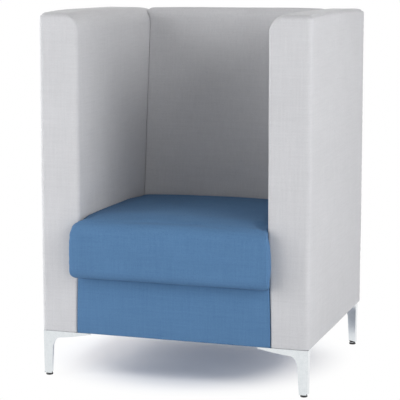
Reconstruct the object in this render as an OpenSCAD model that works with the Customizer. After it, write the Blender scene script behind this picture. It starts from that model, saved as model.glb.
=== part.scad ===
// High back lounge chair with tall upholstered side and back panels round a fixed seat.
// Millimetres. X runs to the right as seen from the front, Y from the front to the rear and Z up.
// The origin lies on the floor, midway across the width and the whole depth.

/* [Body] */
// Width across the two side panels
body_w = 780; // [720:5:860]
// Depth of the side panels
panel_d = 660; // [600:5:740]
// Height of the panels above the floor
body_top = 1030; // [950:5:1250]
// Height of the body's underside above the floor
body_base = 130; // [110:5:160]

/* [Side panels] */
// Thickness of a side panel at mid height
side_t = 118; // [108:1:130]
// Radius along the top inner edge
top_inner_r = 42; // [28:1:44]
// Radius along the top outer edge
top_outer_r = 8; // [5:0.5:10]
// Radius of the front and rear top edges
top_end_r = 6; // [4:0.5:9]
// Radius of the upright edges
upright_r = 10; // [7:0.5:12]
// Radius along the bottom edges
base_r = 4; // [3:0.5:5]
// Rise of the top line at the middle of its depth
top_crown = 4; // [1:0.5:8]
// How far the outer face draws in at the bottom
outer_tuck = 3.5; // [1:0.5:9]
// Height above the underside where the outer face starts to draw in
outer_tuck_h = 430; // [250:10:560]
// How far the inner face draws in at the bottom
inner_tuck = 8; // [1:0.5:9]

/* [Back panel] */
// Thickness of the back panel below the seat's top
back_low_t = 139; // [130:1:150]
// Thickness of the back panel at its top
back_top_t = 72; // [70:1:95]
// Radius along the top front edge
back_top_r = 36; // [26:1:42]
// Radius along the top rear edge
back_rear_r = 9; // [6:0.5:12]
// Radius of the upright edges
back_upright_r = 6; // [4:0.5:9]
// Rise of the top line at mid width
back_crown = 2; // [1:0.5:2.5]

/* [Seat] */
// Height of the seat's top at its rear edge
seat_rear_z = 450; // [425:1:470]
// Height of the joint between cushion and apron
seam_z = 292; // [270:1:300]
// How much higher the seat's sides are at the front
seat_rake = 10; // [2:1:16]
// Rise of the seat's middle over its sides
seat_crown = 9; // [3:1:16]
// How far the cushion stands in front of the side panels
cushion_out = 48; // [36:1:60]
// How far the cushion swells over each side panel's front
lip_w = 11; // [6:0.5:12]
// Height over which the swelling fades at the top
lip_fade = 44; // [30:1:60]
// Radius of the cushion's top front edge
seat_front_r = 38; // [28:1:46]
// Radius of the cushion's lower front edge
seat_low_r = 22; // [14:1:26]
// Radius of the cushion's top side and rear edges
seat_side_r = 8; // [6:0.5:14]

/* [Apron] */
// How far the apron stands in front of the side panels
apron_out = 3; // [0:0.5:6]
// Depth of the apron with its cover
apron_d = 29; // [27:1:36]
// Radius of the apron's edges
apron_r = 5; // [3:0.5:7]

/* [Covers and foam] */
// Thickness of the cover cloth with its backing
cover_t = 2; // [1.5:0.1:2.5]
// Width of the cloth turned in under a panel
hem_w = 22; // [14:1:24]
// Foam over the inner face of a side panel
inner_foam = 26; // [22:1:27]
// Foam over the outer face of a side panel
outer_foam = 13; // [11:1:14]
// Foam over the front edge of a side panel
front_foam = 12; // [8:1:16]
// Foam over the rear edge of a side panel
rear_foam = 10; // [6:1:14]
// Foam over the top edges of the panels
top_foam = 26; // [20:1:30]
// Foam over the rear face of the back panel
back_rear_foam = 8; // [6:1:10]
// Foam over the ends of the back panel
back_end_foam = 10; // [8:1:12]
// Foam over the ends and the top of the apron
apron_edge_foam = 4; // [3:0.5:5]
// Play between pieces that are upholstered apart
soft_gap = 0.4; // [0.3:0.1:0.8]
// Play between a panel's cover and the foam in it
foam_gap = 0.3; // [0.2:0.1:0.4]
// Play between the cushion's cover and its foam
cushion_gap = 0.9; // [0.8:0.05:0.95]

/* [Timber] */
// Thickness of the facing boards
board_t = 4; // [3:0.5:5]
// Width of the stiles and rails
rail_w = 45; // [40:1:50]
// Thickness of the back panel's stiles and rails
back_frame_t = 40; // [35:1:44]
// Height of the middle rails above the underside
mid_rail_h = 300; // [260:5:340]
// Thickness of the seat box's rails
seat_rail_t = 25; // [20:1:30]
// Gap between the seat box and each side panel
seat_box_gap = 5; // [3:0.5:12]
// Side of the seat box's corner blocks
corner_block_w = 38; // [30:1:45]
// Thickness of the apron's board
apron_board_t = 12; // [9:1:14]
// Length of a spacer block
spacer_l = 60; // [50:1:70]
// Width of a spacer block
spacer_w = 36; // [30:1:38]
// Play of the acoustic slabs in their bays
infill_gap = 0.3; // [0.2:0.1:0.8]

/* [Suspension] */
// Width of a webbing strap
strap_w = 50; // [40:1:60]
// Thickness of a webbing strap
strap_t = 2; // [1.5:0.1:2.5]
// Number of straps that run from front to rear
long_straps = 6; // [5:1:6]
// Number of straps that run across
cross_straps = 5; // [4:1:6]
// Width of the cushion cover's turned-in edge
seat_hem_w = 25; // [18:1:30]
// Thickness of the dust cover
dust_t = 1; // [0.8:0.1:1.4]

/* [Legs] */
// Length of the leg's arm across the body's underside
arm_l = 142; // [120:1:160]
// How far the rear legs stand in front of the panels' rear faces
rear_leg_inset = 24; // [0:1:40]
// Height of the arm at its tip
arm_tip_h = 3.5; // [2.5:0.5:5]
// Height of the arm where its fillet starts
arm_root_h = 17.6; // [14:0.2:22]
// Distance of the fillet's start from the outer corner
arm_root_l = 52; // [46:1:60]
// Depth of the arm
arm_d = 9; // [7:0.5:11]
// Height of the post's head below the underside
post_head_h = 45; // [38:1:55]
// Width of the post at its head
post_head_w = 29.6; // [27:0.2:33]
// Width of the post at its foot, at its front face
post_foot_w = 24.5; // [24:0.5:28]
// Depth of the post's side face
post_d = 28; // [26:0.5:32]
// Radius of the post's outer corner
post_r = 5; // [3:0.5:7]
// How far the post's outer face leans in over its height
post_lean = 1.5; // [0:0.5:3]
// Thickness of the mounting flange
flange_t = 5; // [4:0.5:6]
// Length of the flange across the panel
flange_l = 80; // [78:1:90]
// Depth of the flange
flange_d = 74; // [72:1:84]
// Thickness of the plug under the post
plug_t = 4; // [3:0.5:5]
// How far the plug stands back from the post's faces
plug_inset = 1; // [0.5:0.1:1.5]
// Radius of the boss round the glide's stem
boss_r = 8; // [7:0.5:8.5]

/* [Glides] */
// Radius of a glide's foot
pad_r = 10; // [8:0.5:11]
// Height of a glide's foot
pad_h = 5; // [4:0.5:6]
// Radius of the glide's threaded stem
stem_r = 4; // [3:0.5:4]
// Length of stem inside the leg when the glide is screwed in
stem_in = 28; // [24:1:34]
// Distance of the stem's axis from the leg's outer face
glide_u = 13; // [11.5:0.5:14]
// Distance of the stem's axis from the leg's front face
glide_v = 12; // [10.5:0.5:13]
// Radius of the stem's collar
collar_r = 8; // [7:0.5:9]
// Radius of the stem's button in the foot
button_r = 5; // [4.5:0.1:5.5]
// Running play between the stem and its bore
stem_play = 0.05; // [0.02:0.01:0.1]

/* [Fasteners] */
// Distance of a back panel bolt from the nearest rail
bolt_to_rail = 42; // [34:1:60]
// Radius of the panel and leg bolts
bolt_r = 4; // [3:0.5:4]
// Play of a bolt in its hole
bolt_play = 0.5; // [0.3:0.1:0.8]
// Half the width of a bolt's head
head_r = 7; // [6:0.5:8]
// Height of a bolt's head
head_h = 5; // [4:0.5:6]
// Radius of a washer
washer_r = 10; // [9:0.5:11]
// Thickness of a washer and of a tee nut's flange
washer_t = 1.6; // [1.2:0.1:2]
// Radius of a tee nut's barrel
tee_r = 5.2; // [4.9:0.1:6]
// Length of a tee nut's barrel
tee_l = 10; // [8:1:13]

/* [Hidden] */

// Colours
GREY_CLOTH = "#CACACC";
BLUE_CLOTH = "#5A7DA4";
FOAM = "#EFE7C8";
TIMBER = "#D9B98A";
BOARD = "#B98F5E";
SLAB = "#8E8F86";
STEEL = "#B8BCC0";
POLISHED = "#DCE2E6";
BLACK = "#1B1B1D";
STRAP = "#3A3A3E";
FELT = "#9A9488";

// Overrun of the cuts
over = 1;
// Smallest radius left on an inset corner
least_r = 1;
// Height over which a crown fades down the walls
crown_fade = 60;

// Main places
panel_front = -(panel_d - cushion_out) / 2;
panel_rear = panel_front + panel_d;
mid_y = (panel_front + panel_rear) / 2;
half_w = body_w / 2;
inner_x = half_w - side_t;
top_end = body_top - top_crown;
seat_front = panel_front - cushion_out;
back_front = panel_rear - back_low_t;
seat_rear = back_front - soft_gap;

// Rounded edges are stepped at these angles, and the walls at these shares of the height
ARC = [0, 22.5, 45, 60, 75, 90];
wall_shares = [0.06, 0.12, 0.18, 0.3, 0.48];
inner_wall_shares = [0.18, 0.48];
long_shares = [0.2, 0.5, 0.8];
corner_steps = 3;

// The panel's core: facing boards and the stiles and rails between them
core_x0 = inner_x + cover_t + inner_foam;
core_x1 = half_w - cover_t - outer_foam;
frame_x0 = core_x0 + board_t;
frame_x1 = core_x1 - board_t;
core_y0 = panel_front + cover_t + front_foam;
core_y1 = panel_rear - cover_t - rear_foam;
core_z0 = body_base + cover_t;
core_z1 = top_end - cover_t - top_foam;
mid_rail_z = body_base + mid_rail_h;

// The back panel's core
back_core_x = inner_x - soft_gap - cover_t - back_end_foam;
back_board_y1 = panel_rear - cover_t - back_rear_foam;
back_frame_y1 = back_board_y1 - board_t;
back_frame_y0 = back_frame_y1 - back_frame_t;
back_board_y0 = back_frame_y0 - board_t;
back_bolt_y = (back_frame_y0 + back_frame_y1) / 2;

// The seat box, from the dust cover up to the cushion
strap_z0 = seam_z - 2 * strap_t;
box_z0 = body_base + dust_t;
apron_front = panel_front - apron_out;
apron_rear = apron_front + apron_d;
box_y0 = apron_rear + soft_gap;
box_y1 = back_front - soft_gap;
seat_box_half_w = inner_x - seat_box_gap;
inner_rail_x = seat_box_half_w - seat_rail_t;

// Bolts between the seat box, the back panel and the side panels
seat_bolt_z = core_z0 + rail_w / 2;
seat_bolt_shares = [0.2, 0.82];
seat_bolts = [for (s = seat_bolt_shares) [box_y0 + s * (box_y1 - box_y0), seat_bolt_z]];
back_bolts = [
    [back_bolt_y, mid_rail_z + rail_w / 2 + bolt_to_rail],
    [back_bolt_y, core_z1 - rail_w - bolt_to_rail]
];
back_stile_x = back_core_x - rail_w;

// Legs stand under the side panels' outer corners
leg_x = half_w - outer_tuck;
rear_leg_y = panel_rear - rear_leg_inset;
leg_h = body_base - pad_h - washer_t - plug_t - soft_gap;
post_angle = atan(post_lean / leg_h);
stem_base = pad_h + washer_t;
post_foot_z = body_base - leg_h;
leg_bolt_shares = [[0.46, 0.81], [0.84, 0.78], [0.86, 0.46]];
leg_bolt_places = leg_bolt_shares * flange_d;
fillet_reach_share = 0.15;
arm_bow_share = 0.42;

// Depth that a rounded edge of radius r has fallen back at a distance h below its top
function fall(r, h) = h >= r ? 0 : r - sqrt(max(0, r * r - (r - h) * (r - h)));
function clamp(v) = min(1, max(0, v));
function reverse(list) = [for (i = [len(list) - 1:-1:0]) list[i]];
// Height of the step at angle a on an edge of radius r whose top is at z
function arc_z(z, r, a) = z - r * (1 - sin(a));

// A section is [u0, u1, v0, v1, r]; its ring runs clockwise seen from above
function arc(cu, cv, r, start) =
    [for (i = [0:corner_steps]) let (a = start - 90 * i / corner_steps) [cu + r * cos(a), cv + r * sin(a)]];
function ring(s, sides, ends) =
    let (r = s[4], u0 = s[0] + r, u1 = s[1] - r, v0 = s[2] + r, v1 = s[3] - r)
    let (mid = (u0 + u1) / 2, reach = (u1 - u0) / 2)
    concat(
        [for (t = ends) [mid - t * reach, s[2]]],
        arc(u0, v0, r, 270),
        [for (v = sides) [s[0], v]],
        arc(u0, v1, r, 180),
        [for (t = reverse(ends)) [mid - t * reach, s[3]]],
        [for (t = ends) [mid + t * reach, s[3]]],
        arc(u1, v1, r, 90),
        [for (v = reverse(sides)) [s[1], v]],
        arc(u1, v0, r, 0),
        [for (t = reverse(ends)) [mid + t * reach, s[2]]]
    );
function along(s, shares) = [for (t = shares) s[2] + s[4] + t * (s[3] - s[2] - 2 * s[4])];
function shrunk(s, d, r) = [s[0] + d, s[1] - d, s[2] + d, s[3] - d, r];
function inset(s, d) = shrunk(s, d, max(least_r, s[4] - d));

// Triangles across a ring of n points that has m points on each half of its end edges
function cap(n, m) =
    let (front = [for (i = [-m - 1:m]) (i + n) % n], rear = [for (i = [0:2 * m + 1]) n / 2 - 1 - m + i])
    let (a = m + 1, b = n / 2 - 2 - m)
    concat(
        [[a, n - 2 - m, n - 1 - m]],
        [for (i = [0:2 * m]) [a, front[i], front[i + 1]]],
        [for (i = [m + 1:n / 2 - 3 - m]) each [[i, i + 1, n - 2 - i], [i, n - 2 - i, n - 1 - i]]],
        [for (i = [0:2 * m]) [b, rear[i], rear[i + 1]]],
        [[b, n / 2 + m, n / 2 + 1 + m]]
    );

// Skin through rows of [height, section, inset], bent by a function of a point and its inset
module loft(rows, ends, places, bend) {
    rings = [for (row = rows) [
        for (q = ring(row[1], places(row), ends)) bend([q.x, q.y, row[0]], row[2])
    ]];
    n = len(rings[0]);
    last = (len(rows) - 1) * n;
    walls = [
        for (j = [0:len(rows) - 2], i = [0:n - 1])
        let (a = j * n + i, b = j * n + (i + 1) % n)
        each [[a, b, b + n], [a, b + n, a + n]]
    ];
    lids = [for (f = cap(n, len(ends))) each [reverse(f), [for (i = f) last + i]]];
    polyhedron([for (r = rings) each r], concat(walls, lids), convexity = 4);
}

// Rows of a cover: down its inner face, round the turned-in hem and up its outer face
function cover_rows(outer, inner, hem) =
    let (z = outer[0][0], edge = inset(outer[0][1], hem))
    concat(reverse(inner), [[z + cover_t, edge, 0], [z, edge, 0]], outer);

// How far the panels' inner and outer faces draw in at height z
function inner_draw(z) = let (t = clamp((seam_z - z) / (seam_z - body_base))) inner_tuck * t * t;
function outer_draw(z) = let (t = clamp(1 - (z - body_base) / outer_tuck_h)) outer_tuck * t * t;
function crown(z, top, share) = clamp((z - top + crown_fade) / crown_fade) * (1 - share * share);
// Place along the panels' depth, from -1 at the front to 1 at the rear
function depth_share(y) = (y - mid_y) / (panel_d / 2);

function wall_z(share) = body_base + share * (body_top - body_base);
// Heights of the rows of a panel's skin that lies e inside its outer face
function panel_heights(shares, e) = concat(
    [body_base + e],
    e == 0 ? [body_base + base_r * (1 - cos(45)), body_base + base_r] : [],
    [for (s = shares) wall_z(s)],
    [for (a = ARC) arc_z(top_end - e, top_inner_r - e, a)]
);

// Side panel, drawn on the +X side
function side_section(z, e) =
    let (h = top_end - e - z, low = e > 0 ? 0 : fall(base_r, z - body_base))
    let (end = fall(top_end_r - e, h) + low)
    [
        inner_x + e + fall(top_inner_r - e, h) + low,
        half_w - e - fall(top_outer_r - e, h) - low,
        panel_front + e + end, panel_rear - e - end, upright_r - e
    ];
function side_rows(shares, e) = [for (z = panel_heights(shares, e)) [z, side_section(z, e), e]];
function side_bend(p, e) =
    let (t = (p.x - inner_x) / side_t)
    [
        p.x + (1 - t) * inner_draw(p.z) - t * outer_draw(p.z), p.y,
        p.z + top_crown * crown(p.z, top_end, depth_share(p.y))
    ];

module side_skin(rows) {
    loft(rows, [], function(row) along(row[1], long_shares), function(p, e) side_bend(p, e));
}

// A box between two corners
module block(a, b) {
    translate(a) cube(b - a);
}

// Pieces of one side, drawn at +X and mirrored for the other
module on_side(side) {
    mirror([side > 0 ? 0 : 1, 0, 0]) children();
}

// A cylinder from one point along +X, +Y or +Z
module rod(from, length, r, turn = [0, 90, 0]) {
    translate(from) rotate(turn) cylinder(h = length, r = r, $fn = 48);
}

// Holes of the bolts that pass along X from x0 to x1
module bolt_holes(places, x0, x1) {
    for (p = places) rod([x0, p.x, p.y], x1 - x0, bolt_r + bolt_play);
}

// Blocks w deep and h high round bolts, from x0 to x1, with some play round them
module spacers(places, w, h, x0, x1, play) {
    for (p = places)
        block([x0, p.x - w / 2 - play, p.y - h / 2 - play], [x1, p.x + w / 2 + play, p.y + h / 2 + play]);
}

module side_openings() {
    spacers(seat_bolts, spacer_l, spacer_w, inner_x - over, core_x0, soft_gap);
    spacers(back_bolts, spacer_w, spacer_l, inner_x - over, core_x0, soft_gap);
}

// Rectangular frame with a middle rail, from corner a to corner b, bays cut through along an axis
module bays(a, b, deep, gap) {
    w = rail_w - gap;
    for (z = [[a.z + w, mid_rail_z - rail_w / 2 + gap], [mid_rail_z + rail_w / 2 - gap, b.z - w]])
        if (deep == "x")
            block([a.x - over, a.y + w, z[0]], [b.x + over, b.y - w, z[1]]);
        else
            block([a.x + w, a.y - over, z[0]], [b.x - w, b.y + over, z[1]]);
}

// Places of one leg's bolts on the +X side, [x, y]
function leg_bolts_at(rear) = [
    for (p = leg_bolt_places) [leg_x - p.x, rear ? rear_leg_y - p.y : panel_front + p.y]
];
all_leg_bolts = concat(leg_bolts_at(false), leg_bolts_at(true));

module side_frame(side) {
    a = [frame_x0, core_y0, core_z0];
    b = [frame_x1, core_y1, core_z1];
    color(TIMBER) on_side(side) difference() {
        block(a, b);
        bays(a, b, "x", 0);
        bolt_holes(concat(seat_bolts, back_bolts), frame_x0 - over, frame_x1 + over);
        for (p = concat(seat_bolts, back_bolts)) {
            rod([frame_x1 - washer_t, p.x, p.y], washer_t + over, washer_r + bolt_play);
            rod([frame_x1 - tee_l, p.x, p.y], tee_l + over, tee_r);
        }
        for (p = all_leg_bolts) {
            rod([p.x, p.y, core_z0 - over], rail_w + 2 * over, bolt_r + bolt_play, [0, 0, 0]);
            rod([p.x, p.y, core_z0 + rail_w - washer_t], washer_t + over, washer_r + bolt_play, [0, 0, 0]);
            rod([p.x, p.y, core_z0 + rail_w - tee_l], tee_l + over, tee_r, [0, 0, 0]);
        }
    }
}

module side_board(side, outer) {
    x0 = outer ? frame_x1 : core_x0;
    color(BOARD) on_side(side) difference() {
        block([x0, core_y0, core_z0], [x0 + board_t, core_y1, core_z1]);
        if (!outer) bolt_holes(concat(seat_bolts, back_bolts), core_x0 - over, frame_x0 + over);
    }
}

module side_infill(side) {
    a = [frame_x0, core_y0, core_z0];
    b = [frame_x1, core_y1, core_z1];
    color(SLAB) on_side(side) intersection() {
        block(a, b);
        bays(a, b, "x", -infill_gap);
    }
}

module side_foam(side) {
    color(FOAM) on_side(side) difference() {
        side_skin(side_rows(inner_wall_shares, cover_t + foam_gap));
        block([core_x0, core_y0, body_base - over], [core_x1, core_y1, core_z1]);
        block([inner_x, panel_front, body_base - over], [half_w, panel_rear, core_z0 + foam_gap]);
        side_openings();
    }
}

module side_cover(side) {
    rows = cover_rows(side_rows(wall_shares, 0), side_rows(inner_wall_shares, cover_t), hem_w);
    color(GREY_CLOTH) on_side(side) difference() {
        side_skin(rows);
        side_openings();
    }
}

// Back panel: its ends follow the side panels' inner faces, also up their rounded tops
end_top = top_end - top_inner_r;
end_turn_z = arc_z(top_end, top_inner_r, 45);
function back_end(z) =
    let (r = top_inner_r + soft_gap, follow = min(z, end_turn_z + soft_gap * sin(45)))
    inner_x + top_inner_r - (follow > end_top ? sqrt(max(0, r * r - (follow - end_top) ^ 2)) : r)
    - fall(top_end - end_turn_z, top_end - z);
function back_section(z, e) =
    let (h = top_end - e - z, low = e > 0 ? 0 : fall(base_r, z - body_base))
    let (half = back_end(z) - e)
    [
        back_front + e + fall(back_top_r - e, h) + low, panel_rear - e - fall(back_rear_r - e, h) - low,
        low - half, half - low, back_upright_r - e
    ];
function back_heights(shares, e) = concat(
    [body_base + e],
    e == 0 ? [body_base + base_r * (1 - cos(45)), body_base + base_r] : [],
    [for (s = shares) wall_z(s)],
    [for (a = ARC) a <= 45
        ? end_top + (top_inner_r + soft_gap - e) * sin(a)
        : arc_z(top_end - e, top_inner_r - e, a)]
);
function back_rows(shares, e) = [for (z = back_heights(shares, e)) [z, back_section(z, e), e]];
function recline(z) = (back_low_t - back_top_t) * clamp((z - seat_rear_z) / (top_end - seat_rear_z));
// The section's first axis is the chair's Y, and its second axis is turned onto X
function back_bend(p, e) =
    let (t = (panel_rear - e - p.x) / (back_low_t - 2 * e), y = p.x + t * recline(p.z))
    let (rise = back_crown * crown(p.z, top_end, min(1, abs(p.y) / inner_x)))
    [y, p.y * (1 + inner_draw(p.z) / inner_x), p.z + rise + top_crown * crown(p.z, top_end, depth_share(y))];

module back_skin(rows) {
    rotate([0, 0, 90]) loft(rows, [], function(row) along(row[1], long_shares), function(p, e) back_bend(p, e));
}

module back_openings() {
    for (side = [-1, 1])
        on_side(side)
            spacers(back_bolts, spacer_w, spacer_l, back_core_x, inner_x + inner_tuck + over, soft_gap);
}

module back_frame() {
    a = [-back_core_x, back_frame_y0, core_z0];
    b = [back_core_x, back_frame_y1, core_z1];
    color(TIMBER) difference() {
        block(a, b);
        bays(a, b, "y", 0);
        for (side = [-1, 1]) on_side(side) bolt_holes(back_bolts, back_stile_x - over, back_core_x + over);
    }
}

module back_board(rear) {
    y0 = rear ? back_frame_y1 : back_board_y0;
    color(BOARD) block([-back_core_x, y0, core_z0], [back_core_x, y0 + board_t, core_z1]);
}

module back_infill() {
    a = [-back_core_x, back_frame_y0, core_z0];
    b = [back_core_x, back_frame_y1, core_z1];
    pocket = head_h + washer_t + over;
    color(SLAB) difference() {
        intersection() {
            block(a, b);
            bays(a, b, "y", -infill_gap);
        }
        for (side = [-1, 1], p = back_bolts)
            on_side(side) rod([back_stile_x - pocket, p.x, p.y], pocket + over, washer_r + over);
    }
}

module back_foam() {
    color(FOAM) difference() {
        back_skin(back_rows(inner_wall_shares, cover_t + foam_gap));
        block([-back_core_x, back_board_y0, body_base - over], [back_core_x, back_board_y1, core_z1]);
        block([-half_w, back_front, body_base - over], [half_w, panel_rear, core_z0 + foam_gap]);
        back_openings();
    }
}

module back_cover() {
    rows = cover_rows(back_rows(wall_shares, 0), back_rows(inner_wall_shares, cover_t), hem_w);
    color(GREY_CLOTH) difference() {
        back_skin(rows);
        back_openings();
    }
}

// Seat cushion: its front stands proud and swells over the side panels' rounded front edges
lip_y = panel_front + upright_r;
seat_half_w = inner_x - soft_gap;
seat_reach = min(seat_half_w, (seat_rear - seat_front) / 2);
crown_shares = [0.1, 0.27, 0.48, 0.7, 0.9];
LIP_ARC = [0, 30, 60, 90];
seat_long_shares = [0.3, 0.62];
seat_crown_shares = [0.01, 0.02, 0.035, 0.06, 0.36, 0.68];
seat_end_shares = [0.25, 0.72];
// Share of the depth over which the seat climbs forward
rake_share = 0.35;
function seat_section(z, e) =
    let (h = seat_rear_z - e - z, g = z - seam_z - e)
    let (side = fall(seat_side_r - e, h) + (e > 0 ? 0 : fall(base_r, g)))
    [
        -seat_half_w + e + side, seat_half_w - e - side,
        seat_front + e + fall(seat_front_r - e, h) + fall(seat_low_r - e, g), seat_rear - e - side,
        upright_r - e
    ];
function seat_heights(e, coarse) = concat(
    [for (a = coarse ? [0, 45, 90] : [0, 30, 60, 90]) seam_z + e + (seat_low_r - e) * (1 - cos(a))],
    coarse ? [] : [(seam_z + seat_rear_z) / 2],
    [for (a = coarse ? [0, 45, 90] : [0, 22.5, 45, 67.5, 90]) arc_z(seat_rear_z - e, seat_front_r - e, a)]
);
function seat_rows(e, coarse) =
    let (top = seat_section(seat_rear_z - e, e))
    concat(
        [for (z = seat_heights(e, coarse)) [z, seat_section(z, e), e]],
        [for (t = crown_shares) [seat_rear_z - e, shrunk(top, t * seat_reach, top[4]), e]]
    );
// Along its sides the ring has a point at each step of the panel's rounded edge
function seat_places(s, e) =
    let (r = upright_r + soft_gap + e, rest = along(s, seat_long_shares))
    s[2] + s[4] < lip_y - r
    ? concat([for (a = LIP_ARC) lip_y - r * cos(a)], rest)
    : along(s, seat_crown_shares);
function lip(p, e) =
    let (r = upright_r + soft_gap + e, d = max(0, lip_y - p.y))
    let (low = p.z - seam_z - e, high = seat_rear_z - e - p.z)
    min(d < r ? r - sqrt(r * r - d * d) : lip_w, lip_w)
    * (1 - fall(seat_low_r, max(0, low)) / seat_low_r)
    * (1 - fall(lip_fade, max(0, high)) / lip_fade);
function seat_bend(p, e) =
    let (w = p.x / seat_half_w, forward = (seat_rear - p.y) / (seat_rear - seat_front))
    let (top = clamp((p.z - seat_rear_z + crown_fade) / crown_fade))
    [
        p.x + w * lip(p, e), p.y,
        p.z + top * (seat_rake * min(1, forward / rake_share) + seat_crown * (1 - w * w) * sin(180 * forward))
    ];

module seat_skin(rows) {
    loft(rows, seat_end_shares, function(row) seat_places(row[1], row[2]), function(p, e) seat_bend(p, e));
}

module seat_foam() {
    color(FOAM) seat_skin(seat_rows(cover_t + cushion_gap, true));
}

module seat_cover() {
    color(BLUE_CLOTH) seat_skin(cover_rows(seat_rows(0, false), seat_rows(cover_t, true), seat_hem_w));
}

module seat_side_rails() {
    color(TIMBER) for (side = [-1, 1]) on_side(side) difference() {
        block([inner_rail_x, box_y0, box_z0], [seat_box_half_w, box_y1, strap_z0]);
        bolt_holes(seat_bolts, inner_rail_x - over, seat_box_half_w + over);
    }
}

module seat_cross_rails() {
    color(TIMBER) {
        block([-inner_rail_x, box_y0, box_z0], [inner_rail_x, box_y0 + seat_rail_t, strap_z0]);
        block([-inner_rail_x, box_y1 - seat_rail_t, box_z0], [inner_rail_x, box_y1, strap_z0]);
    }
}

module seat_corner_blocks() {
    color(BOARD) for (side = [-1, 1], y = [box_y0 + seat_rail_t, box_y1 - seat_rail_t - corner_block_w])
        on_side(side)
            block([inner_rail_x - corner_block_w, y, box_z0], [inner_rail_x, y + corner_block_w, strap_z0]);
}

module seat_webbing_long() {
    pitch = (2 * inner_rail_x - strap_w) / (long_straps - 1);
    color(STRAP) for (i = [0:long_straps - 1])
        translate([-inner_rail_x + i * pitch, box_y0, strap_z0]) cube([strap_w, box_y1 - box_y0, strap_t]);
}

module seat_webbing_cross() {
    first = box_y0 + seat_rail_t;
    pitch = (box_y1 - seat_rail_t - strap_w - first) / (cross_straps - 1);
    color(STRAP) for (i = [0:cross_straps - 1])
        translate([-seat_box_half_w, first + i * pitch, strap_z0 + strap_t])
            cube([2 * seat_box_half_w, strap_w, strap_t]);
}

module seat_felt() {
    s = inset(seat_section(seam_z, 0), seat_hem_w + soft_gap);
    color(FELT) block([s[0], s[2], seam_z], [s[1], s[3], seam_z + cover_t]);
}

// Apron between the side panels, under the cushion
apron_top = seam_z - soft_gap;
apron_end_shares = [0.5];
function apron_section(z, e) =
    let (h = apron_top - e - z, g = z - body_base - e)
    let (front = fall(apron_r - e, h) + fall(apron_r - e, g), half = inner_x - soft_gap - e)
    [-half, half, apron_front + e + front, apron_rear - e, least_r + (apron_r - e) / 2];
function apron_heights(e) = concat(
    [for (a = [0, 45, 90]) body_base + e + (apron_r - e) * (1 - cos(a))],
    [for (s = wall_shares) if (wall_z(s) < apron_top - apron_r) wall_z(s)],
    [for (a = [0, 45, 90]) arc_z(apron_top - e, apron_r - e, a)]
);
function apron_rows(e) = [for (z = apron_heights(e)) [z, apron_section(z, e), e]];
function apron_bend(p, e) = [p.x * (1 + inner_draw(p.z) / inner_x), p.y, p.z];

module apron_skin(rows) {
    loft(rows, apron_end_shares, function(row) [], function(p, e) apron_bend(p, e));
}

apron_board_x = inner_x - soft_gap - cover_t - apron_edge_foam;
apron_board_y1 = apron_rear - cover_t - foam_gap;
apron_board_y0 = apron_board_y1 - apron_board_t;
apron_board_z1 = apron_top - cover_t - apron_edge_foam;

module apron_board() {
    color(BOARD)
        block([-apron_board_x, apron_board_y0, core_z0], [apron_board_x, apron_board_y1, apron_board_z1]);
}

module apron_foam() {
    color(FOAM) difference() {
        apron_skin(apron_rows(cover_t + foam_gap));
        block([-apron_board_x, apron_board_y0, body_base - over], [apron_board_x, apron_rear, apron_board_z1]);
    }
}

module apron_cover() {
    color(BLUE_CLOTH) apron_skin(cover_rows(apron_rows(0), apron_rows(cover_t), apron_r));
}

module dust_cover() {
    color(BLACK) block([-seat_box_half_w, box_y0, body_base], [seat_box_half_w, box_y1, box_z0]);
}

// Blocks that carry the bolts' clamping force through foam and cloth
module spacer_blocks() {
    color(TIMBER) for (side = [-1, 1]) on_side(side) difference() {
        union() {
            spacers(seat_bolts, spacer_l, spacer_w, seat_box_half_w, core_x0, 0);
            spacers(back_bolts, spacer_w, spacer_l, back_core_x, core_x0, 0);
        }
        bolt_holes(concat(seat_bolts, back_bolts), inner_rail_x, core_x0 + over);
    }
}

// Bolts along X: head face at x0, end in the tee nut
module panel_bolt_set(places, x0) {
    for (p = places) {
        rod([x0 - washer_t, p.x, p.y], frame_x1 - x0 - board_t + washer_t, bolt_r);
        translate([x0 - washer_t - head_h, p.x, p.y])
            rotate([0, 90, 0]) cylinder(h = head_h, r = head_r, $fn = 6);
    }
}

module panel_bolts() {
    color(STEEL) for (side = [-1, 1]) on_side(side) {
        panel_bolt_set(seat_bolts, inner_rail_x);
        panel_bolt_set(back_bolts, back_stile_x);
    }
}

module washer(from) {
    difference() {
        rod(from, washer_t, washer_r);
        rod([from.x - over, from.y, from.z], washer_t + 2 * over, bolt_r + bolt_play / 2);
    }
}

module panel_washers() {
    color(STEEL) for (side = [-1, 1]) on_side(side) {
        for (p = seat_bolts) washer([inner_rail_x - washer_t, p.x, p.y]);
        for (p = back_bolts) washer([back_stile_x - washer_t, p.x, p.y]);
    }
}

// Tee nut with its flange's outer face at the origin and its barrel along -Z
module tee_nut() {
    difference() {
        union() {
            translate([0, 0, -washer_t]) cylinder(h = washer_t, r = washer_r, $fn = 48);
            translate([0, 0, -tee_l]) cylinder(h = tee_l, r = tee_r, $fn = 48);
        }
        translate([0, 0, -tee_l - over]) cylinder(h = tee_l + 2 * over, r = bolt_r, $fn = 48);
    }
}

module panel_tee_nuts() {
    color(STEEL) for (side = [-1, 1], p = concat(seat_bolts, back_bolts))
        on_side(side) translate([frame_x1, p.x, p.y]) rotate([0, 90, 0]) tee_nut();
}

// Leg, drawn with its outer corner at the origin, its arm along +X and its foot down -Z
function bezier(a, b, c, n) =
    [for (i = [0:n]) let (t = i / n) (1 - t) ^ 2 * a + 2 * t * (1 - t) * b + t ^ 2 * c];

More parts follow.
